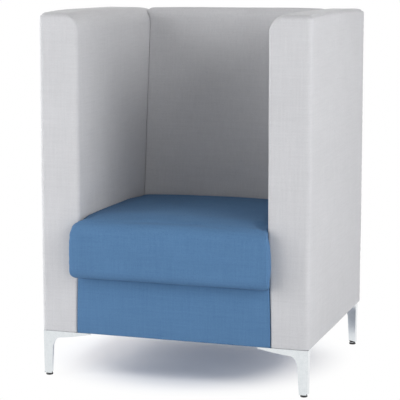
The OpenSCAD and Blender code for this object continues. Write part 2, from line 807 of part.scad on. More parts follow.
module arm_profile() {
    tip = [arm_l, -arm_tip_h];
    root = [arm_root_l, -arm_root_h];
    head = [post_head_w, -post_head_h];
    throat = [post_head_w, -arm_root_h] * (1 + fillet_reach_share);
    bow = root + [arm_bow_share * (tip.x - root.x), arm_bow_share / 2 * (tip.y - root.y)];
    polygon(concat(
        [[-post_r, 0], [-post_r, -leg_h], [post_foot_w, -leg_h]],
        bezier(head, throat, root, 8),
        bezier(root, bow, tip, 6),
        [[arm_l, 0]]
    ));
}

// Rounded outer corner of the post, from its front face to its side face
function leg_corner() =
    [for (i = [0:6]) let (a = 270 - 15 * i) [post_r * (1 + cos(a)), post_r * (1 + sin(a))]];

module leg_plan() {
    polygon(concat(
        [[2 * arm_l, 0]], leg_corner(),
        [[0, post_d - post_r / 3], [post_r / 3, post_d], [post_head_w, arm_d], [2 * arm_l, arm_d]]
    ));
}

module leg_flange() {
    cut = flange_l / 3;
    translate([0, 0, -flange_t]) linear_extrude(flange_t) polygon(concat(
        leg_corner(),
        [[0, flange_d], [flange_l - cut, flange_d], [flange_l, flange_d - cut], [flange_l, 0]]
    ));
}

module leg_shape() {
    boss_h = stem_in + 4 * over;
    difference() {
        union() {
            intersection() {
                translate([0, post_d + over, 0]) rotate([90, 0, 0]) linear_extrude(post_d + 2 * over) arm_profile();
                rotate([0, -post_angle, 0])
                    translate([0, 0, -2 * leg_h]) linear_extrude(3 * leg_h) leg_plan();
            }
            leg_flange();
            translate([glide_u, glide_v, -leg_h]) cylinder(h = boss_h, r = boss_r, $fn = 64);
        }
        translate([glide_u, glide_v, -leg_h - over])
            cylinder(h = stem_in + 3 * over, r = stem_r + stem_play, $fn = 64);
        for (p = leg_bolt_places)
            translate([p.x, p.y, -flange_t - over])
                cylinder(h = flange_t + 2 * over, r = bolt_r + bolt_play, $fn = 48);
    }
}

// Moves a piece drawn like the leg to one corner of the body
module at_corner(side, rear) {
    translate([side * leg_x, rear ? rear_leg_y : panel_front, 0])
        mirror([side > 0 ? 1 : 0, 0, 0]) mirror([0, rear ? 1 : 0, 0]) children();
}

module leg(side, rear) {
    color(POLISHED) at_corner(side, rear) translate([0, 0, body_base]) leg_shape();
}

module leg_end_plugs() {
    low = plug_inset;
    color(BLACK) for (side = [-1, 1], rear = [false, true])
        at_corner(side, rear) translate([0, 0, post_foot_z - plug_t]) difference() {
            linear_extrude(plug_t) union() {
                polygon([[post_lean + low, low], [post_foot_w - low, low], [post_foot_w - low, arm_d],
                    [post_lean + low, post_d - post_lean]]);
                translate([glide_u, glide_v]) circle(r = boss_r - low / 2, $fn = 64);
            }
            translate([glide_u, glide_v, -over]) cylinder(h = plug_t + 2 * over, r = stem_r + bolt_play, $fn = 64);
        }
}

// Bolts up through the flange and the panel's bottom rail into a tee nut
module leg_bolts() {
    head_z = body_base - flange_t;
    color(STEEL) for (side = [-1, 1], p = all_leg_bolts) on_side(side) {
        rod([p.x, p.y, head_z], rail_w + flange_t, bolt_r, [0, 0, 0]);
        translate([p.x, p.y, head_z - head_h]) cylinder(h = head_h, r = head_r, $fn = 6);
    }
}

module leg_tee_nuts() {
    color(STEEL) for (side = [-1, 1], p = all_leg_bolts)
        on_side(side) translate([p.x, p.y, core_z0 + rail_w]) tee_nut();
}

// Levelling glide: a threaded stem with a collar, its button turning in the foot's socket
button_h = pad_h / 2;
module glide_stem(side, rear) {
    color(STEEL) at_corner(side, rear) translate([glide_u, glide_v, 0]) {
        translate([0, 0, stem_base - over]) cylinder(h = stem_in + plug_t + over, r = stem_r, $fn = 64);
        translate([0, 0, pad_h]) cylinder(h = washer_t, r = collar_r, $fn = 64);
        translate([0, 0, pad_h - button_h]) cylinder(h = button_h + over / 2, r = button_r, $fn = 64);
    }
}

module glide_pad(side, rear) {
    bevel = pad_h / 5;
    color(BLACK) at_corner(side, rear) translate([glide_u, glide_v, 0]) rotate_extrude($fn = 64) polygon([
        [0, 0], [pad_r - bevel, 0], [pad_r, bevel], [pad_r, pad_h - 2 * bevel], [pad_r - bevel, pad_h],
        [button_r + stem_play, pad_h], [button_r + stem_play, pad_h - button_h], [0, pad_h - button_h]
    ]);
}

side_frame(-1);  // left_side_frame
side_board(-1, true);  // left_outer_board
side_board(-1, false);  // left_inner_board
side_infill(-1);  // left_acoustic_infill
side_foam(-1);  // left_side_foam
side_cover(-1);  // left_side_cover
side_frame(1);  // right_side_frame
side_board(1, true);  // right_outer_board
side_board(1, false);  // right_inner_board
side_infill(1);  // right_acoustic_infill
side_foam(1);  // right_side_foam
side_cover(1);  // right_side_cover
back_frame();
back_board(false);  // back_front_board
back_board(true);  // back_rear_board
back_infill();  // back_acoustic_infill
back_foam();
back_cover();
seat_side_rails();
seat_cross_rails();
seat_corner_blocks();
seat_webbing_long();
seat_webbing_cross();
seat_felt();
seat_foam();
seat_cover();
apron_board();
apron_foam();
apron_cover();
dust_cover();
spacer_blocks();
panel_bolts();
panel_washers();
panel_tee_nuts();
leg(-1, false);  // leg_front_left
leg(1, false);  // leg_front_right
leg(-1, true);  // leg_rear_left
leg(1, true);  // leg_rear_right
leg_end_plugs();
leg_bolts();
leg_tee_nuts();
glide_stem(-1, false);  // glide_stem_front_left
glide_stem(1, false);  // glide_stem_front_right
glide_stem(-1, true);  // glide_stem_rear_left
glide_stem(1, true);  // glide_stem_rear_right
glide_pad(-1, false);  // glide_pad_front_left
glide_pad(1, false);  // glide_pad_front_right
glide_pad(-1, true);  // glide_pad_rear_left
glide_pad(1, true);  // glide_pad_rear_right
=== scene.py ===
import math

import bmesh
import bpy
import numpy as np
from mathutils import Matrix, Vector, kdtree, noise


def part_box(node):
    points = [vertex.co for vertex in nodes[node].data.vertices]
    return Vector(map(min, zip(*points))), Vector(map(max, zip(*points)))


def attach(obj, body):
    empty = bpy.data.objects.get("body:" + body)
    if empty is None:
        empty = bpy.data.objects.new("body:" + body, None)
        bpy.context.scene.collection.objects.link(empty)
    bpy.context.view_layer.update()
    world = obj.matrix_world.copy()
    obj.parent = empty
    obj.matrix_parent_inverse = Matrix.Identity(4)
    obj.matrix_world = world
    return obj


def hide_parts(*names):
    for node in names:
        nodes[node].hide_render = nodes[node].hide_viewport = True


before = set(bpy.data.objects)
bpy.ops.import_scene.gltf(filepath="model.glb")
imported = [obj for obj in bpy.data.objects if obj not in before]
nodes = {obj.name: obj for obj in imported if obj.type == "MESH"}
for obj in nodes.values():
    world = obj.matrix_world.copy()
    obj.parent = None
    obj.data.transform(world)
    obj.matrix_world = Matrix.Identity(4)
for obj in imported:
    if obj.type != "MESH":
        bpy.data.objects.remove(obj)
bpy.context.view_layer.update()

scene = bpy.context.scene
print("frame loaded:", len(nodes), "nodes")


# Camera at the photograph's viewing point; its pixels are those of a 400 x 400 frame
cameraView = {"place": (1.3343, -4.1496, 1.1447), "yaw": 18.063, "pitch": 7.363, "focalPixels": 1507.3,
              "frame": 400, "middle": (199.6, 164.8), "sensor": 36, "farClip": 60}


def makeCamera(view):
    data = bpy.data.cameras.new("photoCamera")
    camera = bpy.data.objects.new("photoCamera", data)
    scene.collection.objects.link(camera)
    camera.location = view["place"]
    camera.rotation_euler = (math.radians(90 - view["pitch"]), 0, math.radians(view["yaw"]))
    data.sensor_width = view["sensor"]
    data.lens = view["focalPixels"] / view["frame"] * view["sensor"]
    data.shift_x = 0.5 - view["middle"][0] / view["frame"]
    data.shift_y = view["middle"][1] / view["frame"] - 0.5
    data.clip_end = view["farClip"]
    scene.camera = camera


makeCamera(cameraView)
print("camera set")


# Materials

def linear(hexColour):
    # sRGB hex such as #CACACC to the linear colour that a shader takes
    parts = [int(hexColour[i:i + 2], 16) / 255 for i in (1, 3, 5)]
    return [p / 12.92 if p <= 0.04045 else ((p + 0.055) / 1.055) ** 2.4 for p in parts] + [1]


def addNode(tree, kind, inputs=None, **settings):
    # an input is a value, a socket, or a node whose first live output is linked
    node = tree.nodes.new("ShaderNode" + kind)
    for key, value in settings.items():
        setattr(node, key, value)
    for key, value in (inputs or {}).items():
        if isinstance(value, bpy.types.Node):
            value = next(o for o in value.outputs if o.enabled)
        if isinstance(value, bpy.types.NodeSocket):
            tree.links.new(value, node.inputs[key])
        else:
            node.inputs[key].default_value = value
    return node


def newMaterial(name):
    material = bpy.data.materials.new(name)
    material.use_nodes = True
    material.node_tree.nodes.clear()
    return material, material.node_tree


def closeMaterial(tree, surface, height, strength, depth):
    # the shader with its bump and the output
    surface["Normal"] = addNode(tree, "Bump", {"Height": height, "Strength": strength, "Distance": depth})
    shader = addNode(tree, "BsdfPrincipled", surface)
    addNode(tree, "OutputMaterial", {"Surface": shader})


# How both cloths are woven. Each mark is a noise of one size in metres, stretched along its yarn
weaveMarks = {
    "fibres": {"stretch": (1, 1, 1), "size": 0.0026, "detail": 4, "rough": 0.65},
    "slubs": {"stretch": (1, 1, 5), "size": 0.011, "detail": 2, "rough": 0.5},
    "upright": {"stretch": (1, 1, 0.05), "size": 0.0045, "detail": 1, "rough": 0.5},
    "level": {"stretch": (0.05, 0.05, 1), "size": 0.0045, "detail": 1, "rough": 0.5},
    "clouds": {"stretch": (1, 1, 1), "size": 0.14, "detail": 2, "rough": 0.5},
}
weave = {"thread": 0.0018, "fibreShare": 0.56, "streakShare": 0.22, "yarnRange": (0.26, 0.74),
         "slubRange": (0.60, 0.75), "slubStrength": 0.35, "cloudRange": (0.3, 0.7), "cloudShade": 0.965,
         "roughness": 0.9, "specular": 0.25, "sheenRoughness": 0.5, "bump": 0.4, "depth": 0.00035}


def wovenCloth(name, cloth):
    # Woven wool blend: matt and soft, in two yarn shades that read as a fine melange. Its threads lie about
    # 0.9 mm apart and are drawn at twice that, because anything finer is lost in the render
    material, tree = newMaterial(name)
    coords = addNode(tree, "TexCoord")
    place, normal = coords.outputs["Object"], coords.outputs["Normal"]
    marks = {}
    for mark, look in weaveMarks.items():
        stretched = addNode(tree, "Mapping", {"Vector": place, "Scale": look["stretch"]})
        marks[mark] = addNode(tree, "TexNoise", {
            "Vector": stretched, "Scale": 1 / look["size"], "Detail": look["detail"],
            "Roughness": look["rough"]}).outputs["Fac"]
    turned = addNode(tree, "VectorMath", {0: place, 3: math.pi / weave["thread"]}, operation="SCALE")
    sines = addNode(tree, "VectorMath", {0: turned}, operation="SINE")
    waves = addNode(tree, "SeparateXYZ", {0: sines}).outputs
    warp = addNode(tree, "CombineXYZ", {0: waves[1], 1: waves[2], 2: waves[0]})
    weft = addNode(tree, "CombineXYZ", {0: waves[2], 1: waves[0], 2: waves[1]})
    crossings = addNode(tree, "VectorMath", {0: warp, 1: weft}, operation="MULTIPLY")
    facing = addNode(tree, "VectorMath", {0: normal, 1: normal}, operation="MULTIPLY")
    threads = addNode(tree, "VectorMath", {0: crossings, 1: facing}, operation="DOT_PRODUCT").outputs["Value"]
    streaks = addNode(tree, "Math", {0: marks["upright"], 1: marks["level"]}, operation="ADD")
    fuzz = addNode(tree, "Math", {0: marks["fibres"], 1: weave["fibreShare"]}, operation="MULTIPLY")
    mixed = addNode(tree, "Math", {0: streaks, 1: weave["streakShare"], 2: fuzz}, operation="MULTIPLY_ADD")
    low, high = weave["yarnRange"]
    melange = addNode(tree, "MapRange", {"Value": mixed, "From Min": low, "From Max": high})
    yarn = addNode(tree, "Mix", {0: melange, 6: linear(cloth["dark"]), 7: linear(cloth["light"])},
                   data_type="RGBA").outputs[2]
    low, high = weave["slubRange"]
    slub = addNode(tree, "MapRange", {"Value": marks["slubs"], "From Min": low, "From Max": high,
                                      "To Max": weave["slubStrength"]})
    slubbed = addNode(tree, "Mix", {0: slub, 6: yarn, 7: linear(cloth["slubColour"])},
                      data_type="RGBA").outputs[2]
    low, high = weave["cloudRange"]
    shade = addNode(tree, "MapRange", {"Value": marks["clouds"], "From Min": low, "From Max": high,
                                       "To Min": weave["cloudShade"]})
    colour = addNode(tree, "Mix", {0: 1.0, 6: slubbed, 7: shade}, data_type="RGBA", blend_type="MULTIPLY")
    relief = addNode(tree, "Math", {0: threads, 1: marks["fibres"]}, operation="ADD")
    surface = {"Base Color": colour.outputs[2], "Roughness": weave["roughness"],
               "Specular IOR Level": weave["specular"], "Sheen Weight": cloth["sheen"],
               "Sheen Roughness": weave["sheenRoughness"]}
    closeMaterial(tree, surface, relief, weave["bump"], weave["depth"])
    return material


greyCloth = wovenCloth("wovenWoolLightGrey", {"light": "#C8C8CA", "dark": "#B6B6B9", "slubColour": "#ABABAF",
                                              "sheen": 0.06})
blueCloth = wovenCloth("wovenWoolBlue", {"light": "#567CA1", "dark": "#45688F", "slubColour": "#3D5E83",
                                         "sheen": 0.01})

plainGrain = {"stretch": (1, 1, 1), "swirl": 0, "metallic": 0, "detail": 5, "noiseRough": 0.6}


def grained(name, **marked):
    # one recipe for finishes that read by a grain or speckle in two shades; each call says what it stands for
    grain = {**plainGrain, **marked}
    material, tree = newMaterial(name)
    place = addNode(tree, "Mapping", {"Vector": addNode(tree, "TexCoord").outputs["Object"],
                                      "Scale": grain["stretch"]})
    marks = addNode(tree, "TexNoise", {
        "Vector": place, "Scale": 1 / grain["size"], "Detail": grain["detail"],
        "Roughness": grain["noiseRough"], "Distortion": grain["swirl"]}).outputs["Fac"]
    spread = addNode(tree, "MapRange", {"Value": marks, "From Min": 0.5 - grain["contrast"],
                                        "From Max": 0.5 + grain["contrast"]})
    colour = addNode(tree, "Mix", {0: spread, 6: linear(grain["dark"]), 7: linear(grain["light"])},
                     data_type="RGBA")
    low, high = grain["rough"]
    rough = addNode(tree, "MapRange", {"Value": marks, "To Min": low, "To Max": high})
    closeMaterial(tree, {"Base Color": colour.outputs[2], "Metallic": grain["metallic"], "Roughness": rough},
                  marks, grain["bump"], grain["depth"])
    return material


finishes = {
    # Cut polyurethane foam: pale, open cells of about 1 mm that scatter light
    "foam": grained(
        "cutPolyurethaneFoam", light="#EFE6CC", dark="#DCCFAE", size=0.0015, contrast=0.15, rough=(0.9, 1.0),
        bump=0.6, depth=0.0006),
    # Planed spruce: straight grain a few millimetres wide that runs up the rails
    "timber": grained(
        "planedSpruce", light="#DDBE8E", dark="#C79F68", size=0.006, stretch=(1, 1, 0.06), swirl=0.6,
        contrast=0.2, rough=(0.5, 0.7), bump=0.25, depth=0.0003),
    # Pressed hardboard: brown, even, with fibres of a few millimetres
    "board": grained(
        "pressedHardboard", light="#A98259", dark="#8D6740", size=0.003, swirl=0.3, contrast=0.15,
        rough=(0.55, 0.75), bump=0.2, depth=0.0002),
    # Needled polyester wool: soft dark grey slab that takes up sound
    "acoustic_slab": grained(
        "needledPolyesterWool", light="#8C9094", dark="#6A6E73", size=0.004, swirl=1.5, contrast=0.2,
        rough=(0.95, 1.0), bump=0.8, depth=0.001),
    # Elastic polypropylene webbing: dark, ribbed, slightly shiny
    "webbing": grained(
        "elasticWebbing", light="#4A4642", dark="#2E2B29", size=0.002, contrast=0.2, rough=(0.6, 0.8),
        bump=0.5, depth=0.0005),
    # Needled felt: mottled grey fibres
    "felt": grained(
        "needledFelt", light="#9C9A96", dark="#7C7A77", size=0.003, swirl=1.0, contrast=0.2,
        rough=(0.95, 1.0), bump=0.6, depth=0.0005),
    # Spunbond nonwoven: thin black cloth pressed with small dots
    "nonwoven": grained(
        "spunbondNonwoven", light="#2C2C2F", dark="#1B1B1D", size=0.0025, contrast=0.12, rough=(0.8, 0.95),
        bump=0.4, depth=0.0003),
    # Zinc-plated steel: bright blue-grey metal with a faint cloudy film
    "zinc_steel": grained(
        "zincPlatedSteel", light="#C9CCD0", dark="#AEB2B8", size=0.004, contrast=0.25, metallic=1,
        rough=(0.28, 0.42), bump=0.05, depth=0.0001),
    # Die-cast aluminium, polished: clear reflections, softened by fine polishing marks
    "polished_metal": grained(
        "polishedAluminium", light="#E6EAEC", dark="#DADFE2", size=0.010, contrast=0.3, metallic=1,
        rough=(0.10, 0.16), bump=0.03, depth=0.0001),
    # Moulded nylon: near black, with the fine spark-eroded grain of its mould
    "black_plastic": grained(
        "mouldedNylon", light="#1D1D1F", dark="#141416", size=0.0012, contrast=0.3, rough=(0.42, 0.55),
        bump=0.2, depth=0.0001),
    "grey_cloth": greyCloth,
    "blue_cloth": blueCloth,
}

for node in nodes.values():
    for slot in node.material_slots:
        slot.material = finishes[slot.material.name.split(".")[0]]
print("materials made")


# Shapes shared by the upholstered pieces

mergeDigits = 6
weldGap = 0.00001
sin45 = math.sin(math.radians(45))


def fall(r, h):
    # how far a rounded edge of radius r has fallen back, h below its top
    return r - np.sqrt(np.maximum(0, r * r - np.maximum(0, r - h) ** 2))


def clamp(v):
    return np.clip(v, 0, 1)


def rise(distance, reach):
    # from 0 to 1 over the reach, with a soft start and end
    t = clamp(distance / reach)
    return t * t * (3 - 2 * t)


def ringOf(section, counts):
    # rounded rectangle from the middle of its first edge, by the u0 side, round to it again; a section is
    # (u0, u1, v0, v1, r), with one more radius where the corners of its u1 side differ
    u0, u1, v0, v1, r = section[:5]
    far = section[-1]
    middle = (u0 + u1) / 2
    points = []

    def line(a, b, count):
        for i in range(count):
            points.append((a[0] + (b[0] - a[0]) * i / count, a[1] + (b[1] - a[1]) * i / count))

    def corner(cu, cv, radius, start):
        for i in range(counts["corner"]):
            a = math.radians(start - 90 * i / counts["corner"])
            points.append((cu + radius * math.cos(a), cv + radius * math.sin(a)))

    line((middle, v0), (u0 + r, v0), counts["across"])
    corner(u0 + r, v0 + r, r, 270)
    line((u0, v0 + r), (u0, v1 - r), counts["along"])
    corner(u0 + r, v1 - r, r, 180)
    line((u0 + r, v1), (middle, v1), counts["across"])
    line((middle, v1), (u1 - far, v1), counts["across"])
    corner(u1 - far, v1 - far, far, 90)
    line((u1, v1 - far), (u1, v0 + far), counts["along"])
    corner(u1 - far, v0 + far, far, 0)
    line((u1 - far, v0), (middle, v0), counts["across"])
    return np.array(points)


def shrunk(section, d, radii):
    u0, u1, v0, v1 = section[:4]
    return (u0 + d, u1 - d, v0 + d, v1 - d, *radii)


def lidRows(z, section, steps):
    # rows that close a skin: its ring draws in to a line along the middle
    half = min(section[1] - section[0], section[3] - section[2]) / 2
    return [(z, shrunk(section, half * i / steps, [r * (1 - i / steps) for r in section[4:]]))
            for i in range(1, steps + 1)]


def levels(a, b, step):
    # the heights between a and b, about a step apart
    count = max(1, round(abs(b - a) / step))
    return [a + (b - a) * i / count for i in range(1, count)]


def edgeLevels(top, r, count):
    # heights of the rows up a rounded top edge of radius r
    return [top - r * (1 - math.sin(math.radians(90 * i / count))) for i in range(count + 1)]


def footLevels(bottom, r, count):
    # the same round a lower edge, or the bottom alone where the count is 0
    return [bottom + r * (1 - math.cos(math.radians(90 * i / max(1, count)))) for i in range(count + 1)]


def edgeRow(rows, top, r):
    # which row lies at the middle of a rounded top edge of radius r
    turn = top - r * (1 - sin45)
    return min(range(len(rows)), key=lambda j: abs(rows[j][0] - turn))


def bodyRows(section, e, body, rowCounts):
    # rows from the foot up the wall, over the top's rounded edge and across its lid, a distance e inside
    bottom, top, footRadius, topRadius = body
    footCount, step, edgeCount, lidCount = rowCounts
    heights = footLevels(bottom + e, footRadius - e, footCount)
    heights += levels(heights[-1], top - topRadius, step) + edgeLevels(top - e, topRadius - e, edgeCount)
    rows = [(z, section(z, e)) for z in heights]
    return rows + lidRows(top - e, rows[-1][1], lidCount)


def ringsOf(rows, e, bend, counts):
    rings = []
    for z, section in rows:
        flat = ringOf(section, counts)
        rings.append(bend(np.column_stack([flat, np.full(len(flat), z)]), e))
    return rings


def joinRings(rings):
    # quads between rings of equal length, with one point for each place
    flat = np.concatenate(rings)
    _, keep, use = np.unique(np.round(flat, mergeDigits), axis=0, return_index=True, return_inverse=True)
    use, n, faces = use.ravel(), len(rings[0]), []
    for j in range(len(rings) - 1):
        a, b = use[j * n:(j + 1) * n], use[(j + 1) * n:(j + 2) * n]
        for i in range(n):
            face = list(dict.fromkeys((a[i], b[i], b[(i + 1) % n], a[(i + 1) % n])))
            if len(face) > 2:
                faces.append([int(v) for v in face])
    return flat[keep], faces, use


def tubeFaces(n, count, first=0):
    # quads between rings of n points each, with a face at either end
    last = first + (count - 1) * n
    starts = [first + j * n for j in range(count - 1)]
    sides = [[a + i, a + (i + 1) % n, a + n + (i + 1) % n, a + n + i] for a in starts for i in range(n)]
    return sides + [list(range(first, first + n)), list(range(last, last + n))]


def pieceFrom(name, points, faces, material, smooth=True):
    mesh = bpy.data.meshes.new(name)
    mesh.from_pydata([tuple(p) for p in points], [], faces)
    bm = bmesh.new()
    bm.from_mesh(mesh)
    bmesh.ops.recalc_face_normals(bm, faces=bm.faces)
    bm.to_mesh(mesh)
    bm.free()
    mesh.polygons.foreach_set("use_smooth", [smooth] * len(mesh.polygons))
    mesh.materials.append(material)
    mesh.update()
    piece = bpy.data.objects.new(name, mesh)
    scene.collection.objects.link(piece)
    return piece


def sided(rings, mirrored):
    return [ring * np.array([-1, 1, 1]) for ring in rings] if mirrored else rings


def coverPiece(name, cover, material):
    # a skin that runs down its inner face, round the turned-in hem and up its outer face. It gives the piece,
    # a 1 for each point of the outer face and the point numbers of that face's rows
    outer, inner, bend, counts = (cover[key] for key in ("outer", "inner", "bend", "counts"))
    z = outer[0][0]
    hemSection = shrunk(outer[0][1], cover["hem"], [panel["hemCorner"]])
    hem = ringsOf([(z + panel["cloth"], hemSection), (z, hemSection)], 0, bend, counts)
    innerRings = list(reversed(ringsOf(inner, panel["cloth"], bend, counts)))
    outerRings = ringsOf(outer, 0, bend, counts)
    rings = sided(innerRings + hem + outerRings, cover.get("mirrored"))
    points, faces, use = joinRings(rings)
    piece = pieceFrom(name, points, faces, material)
    first, n = len(innerRings) + len(hem), len(rings[0])
    shown = np.zeros(len(points))
    shown[use[first * n:]] = 1
    places = [use[(first + j) * n:(first + j + 1) * n] for j in range(len(outerRings))]
    return piece, shown, places


def closedRings(body):
    # the rings of a closed body, from a line under its foot up to its top
    z, section = body["rows"][0]
    rows = lidRows(z, section, body["lid"])[::-1] + body["rows"]
    return sided(ringsOf(rows, body["inset"], body["bend"], body["counts"]), body.get("mirrored"))


def readPiece(piece):
    count = len(piece.data.vertices)
    points, normals = np.zeros(count * 3), np.zeros(count * 3)
    piece.data.vertices.foreach_get("co", points)
    piece.data.vertices.foreach_get("normal", normals)
    return points.reshape(-1, 3), normals.reshape(-1, 3)


def movePoints(piece, points):
    piece.data.vertices.foreach_set("co", points.ravel())
    piece.data.update()


def applyModifiers(piece):
    # evaluates the modifiers into the piece's own mesh
    view = bpy.context.evaluated_depsgraph_get()
    mesh = bpy.data.meshes.new_from_object(piece.evaluated_get(view))
    piece.modifiers.clear()
    piece.data = mesh


def combine(piece, other, operation):
    # joins another piece to this one or cuts it out, and deletes the other
    join = piece.modifiers.new("join", "BOOLEAN")
    join.object, join.operation, join.solver = other, operation, "EXACT"
    applyModifiers(piece)
    bpy.data.objects.remove(other)


def cutBoxes(piece, boxes):
    # takes boxes, each between two corners, out of a piece
    points, faces = [], []
    for low, high in boxes:
        faces += tubeFaces(4, 2, len(points))
        plan = [(low[0], low[1]), (low[0], high[1]), (high[0], high[1]), (high[0], low[1])]
        points += [(x, y, z) for z in (low[2], high[2]) for x, y in plan]
    combine(piece, pieceFrom("cutter", points, faces, finishes["foam"]), "DIFFERENCE")


def onChair(piece, slotName, *standsFor, fill=None):
    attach(piece, "chair")
    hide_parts(*standsFor)


def fitFoam(name, node, body, *cuts):
    points, faces, _ = joinRings(closedRings(body))
    foam = pieceFrom(name, points, faces, finishes["foam"])
    for boxes in cuts:
        cutBoxes(foam, boxes)
    onChair(foam, "foam", node, fill=1)


# Sewn seams and the unevenness of cloth

seamStyle = {"depth": 0.0016, "width": 0.0021, "swelling": 0.0005, "swellAt": 2.5, "swellWidth": 1.5,
             "ripple": 0.0008, "pucker": 0.022, "stray": 0.060, "wander": 3, "phaseSeed": (0.4, 0.7),
             "strengthSeed": (2.1, 5.2), "fade": 0.014, "reach": 0.056, "step": 0.0015}


def densePath(points):
    # the same path with points no further apart than the seam's step, and the length at each
    path, lengths, travelled = [], [], 0.0
    for a, b in zip(points, points[1:]):
        gap = float(np.linalg.norm(b - a))
        count = max(1, math.ceil(gap / seamStyle["step"]))
        for i in range(count):
            path.append(a + (b - a) * i / count)
            lengths.append(travelled + gap * i / count)
        travelled += gap
    return path, lengths


def placeTree(places):
    tree = kdtree.KDTree(len(places))
    for i, p in enumerate(places):
        tree.insert(Vector(p), i)
    tree.balance()
    return tree


def seamHeight(s, d):
    # height of the cloth at distance d from the seam, s along it: a fine groove between two low swellings,
    # with puckers that fade away from it
    seam = seamStyle
    width = seam["width"]
    groove = seam["depth"] * math.exp(-(d / width) ** 2)
    swelling = seam["swelling"] * math.exp(-((d / width - seam["swellAt"]) / seam["swellWidth"]) ** 2)
    phase = seam["wander"] * noise.noise(Vector((s / seam["stray"], *seam["phaseSeed"])))
    strength = 0.5 + 0.5 * noise.noise(Vector((s / seam["stray"], *seam["strengthSeed"])))
    ripple = seam["ripple"] * strength * math.sin(2 * math.pi * s / seam["pucker"] + phase)
    return swelling - groove + ripple * math.exp(-d / seam["fade"]) * min(1, d / width)


def pushOut(piece, chosen, amount):
    # moves the chosen points out by amount(number, point)
    points, normals = readPiece(piece)
    for i in np.nonzero(chosen)[0]:
        points[i] += normals[i] * amount(i, points[i])
    movePoints(piece, points)


def sewSeams(piece, shown, lines):
    points, _ = readPiece(piece)
    path, along = [], []
    for line in lines:
        more, lengths = densePath([points[i] for i in line])
        path += more
        along += lengths
    tree = placeTree(path)

    def height(_, point):
        _, k, d = tree.find(Vector(point))
        return seamHeight(along[k], d) if d <= seamStyle["reach"] else 0

    pushOut(piece, shown > 0.5, height)


def soften(piece, shown, uneven):
    # the slow unevenness of cloth over foam
    seed = Vector((uneven["seed"], 0, 0))
    pushOut(piece, shown > 0.5,
            lambda _, point: uneven["amount"] * noise.noise(Vector(point / uneven["size"]) + seed))


# Side panels

panel = {"topInner": 0.046, "topOuter": 0.014, "topEnd": 0.014, "upright": 0.008, "outerUpright": 0.014,
         "foot": 0.0025, "footRows": 3, "crown": 0.007, "crownFade": 0.060, "crownPower": 4, "topRise": 0.003,
         "innerTuck": 0.0095, "tuckAbove": 0.125, "outerTuck": 0.001, "outerTuckHeight": 0.430,
         "cloth": 0.002, "hem": 0.022, "hemCorner": 0.001, "foamInset": 0.0023, "softGap": 0.0004}
panelCounts = {"across": 7, "along": 100, "corner": 8}
panelUneven = {"amount": 0.0007, "size": 0.16, "seed": 3.1}
panelPuff = {"wall": 0.0018, "front": 0.0012, "fade": 0.12, "footFade": 0.14, "innerFade": 0.10,
             "overlap": 0.05, "endTop": 0.08, "endFoot": 0.10}
panelFoamCounts = {"across": 2, "along": 14, "corner": 3}
# Rows of a panel's outer face, of its inner face and of its foam: the step between them, how many go up the
# rounded top edge and how many across the lid
outerRows, innerRows, foamRows = (0.006, 16, 7), (0.036, 6, 3), (0.05, 6, 3)
foamLid = 2
# A point belongs to a face where more than this share of its normal points along the face's axis
faceShare = 0.5

sideLow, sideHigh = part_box("right_side_cover")
innerX, outerX, frontY, rearY, baseZ = sideLow.x, sideHigh.x, sideLow.y, sideHigh.y, sideLow.z
topZ = sideHigh.z - panel["crown"] + panel["topRise"]
middleY = (frontY + rearY) / 2
seamZ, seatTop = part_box("seat_cover")[0].z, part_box("seat_cover")[1].z
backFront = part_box("back_cover")[0].y


def innerDraw(z):
    # the inner walls stand a little wider behind the cushion's lip and below it
    start = seamZ + panel["tuckAbove"]
    return panel["innerTuck"] * np.sin(math.pi / 2 * clamp((start - z) / (start - baseZ)))


def outerDraw(z):
    return panel["outerTuck"] * clamp(1 - (z - baseZ) / panel["outerTuckHeight"]) ** 2


def crownAt(z, share):
    return clamp((z - topZ) / panel["crownFade"] + 1) * (1 - np.abs(share) ** panel["crownPower"])


def depthShare(y):
    return (y - middleY) / ((rearY - frontY) / 2)


def footFall(z, e):
    # the outer face turns in round a small edge at the foot
    return fall(panel["foot"], z - baseZ) if e == 0 else 0


def sideSection(z, e):
    h = topZ - e - z
    foot = footFall(z, e)
    end = fall(panel["topEnd"] - e, h) + foot
    return (innerX + e + fall(panel["topInner"] - e, h) + foot,
            outerX - e - fall(panel["topOuter"] - e, h) - foot,
            frontY + e + end, rearY - e - end, panel["upright"] - e, panel["outerUpright"] - e)


def sideBend(p, e):
    t = (p[:, 0] - innerX) / (outerX - innerX)
    x = p[:, 0] + (1 - t) * innerDraw(p[:, 2]) - t * outerDraw(p[:, 2])
    return np.column_stack([x, p[:, 1], p[:, 2] + panel["crown"] * crownAt(p[:, 2], depthShare(p[:, 1]))])


def panelRows(section, e, rowCounts):
    footCount = panel["footRows"] if e == 0 else 0
    return bodyRows(section, e, (baseZ, topZ, panel["foot"], panel["topInner"]), (footCount, *rowCounts))


def puffSide(piece, shown, side):
    # the facing foam's slight fullness on both walls and on the front and rear strips
    puff = panelPuff
    points, normals = readPiece(piece)
    x, y, z = np.abs(points[:, 0]), points[:, 1], points[:, 2]
    wall = rise(y - frontY, puff["fade"]) * rise(topZ - z, puff["fade"])
    outside = wall * rise(rearY - y, puff["fade"]) * rise(z - baseZ, puff["footFade"])
    inside = wall * rise(backFront - y + puff["overlap"], puff["innerFade"])
    inside *= rise(z - seatTop, puff["innerFade"])
    facing = normals[:, 0] * side
    out = np.where(facing > faceShare, outside, 0) - np.where(facing < -faceShare, inside, 0)
    points[:, 0] += side * puff["wall"] * shown * out
    across = np.sin(math.pi * clamp((x - innerX) / (outerX - innerX)))
    ends = rise(topZ - z, puff["endTop"]) * rise(z - baseZ, puff["endFoot"])
    strip = np.where(np.abs(normals[:, 1]) > faceShare, np.sign(normals[:, 1]), 0)
    points[:, 1] += puff["front"] * shown * across * ends * strip
    movePoints(piece, points)


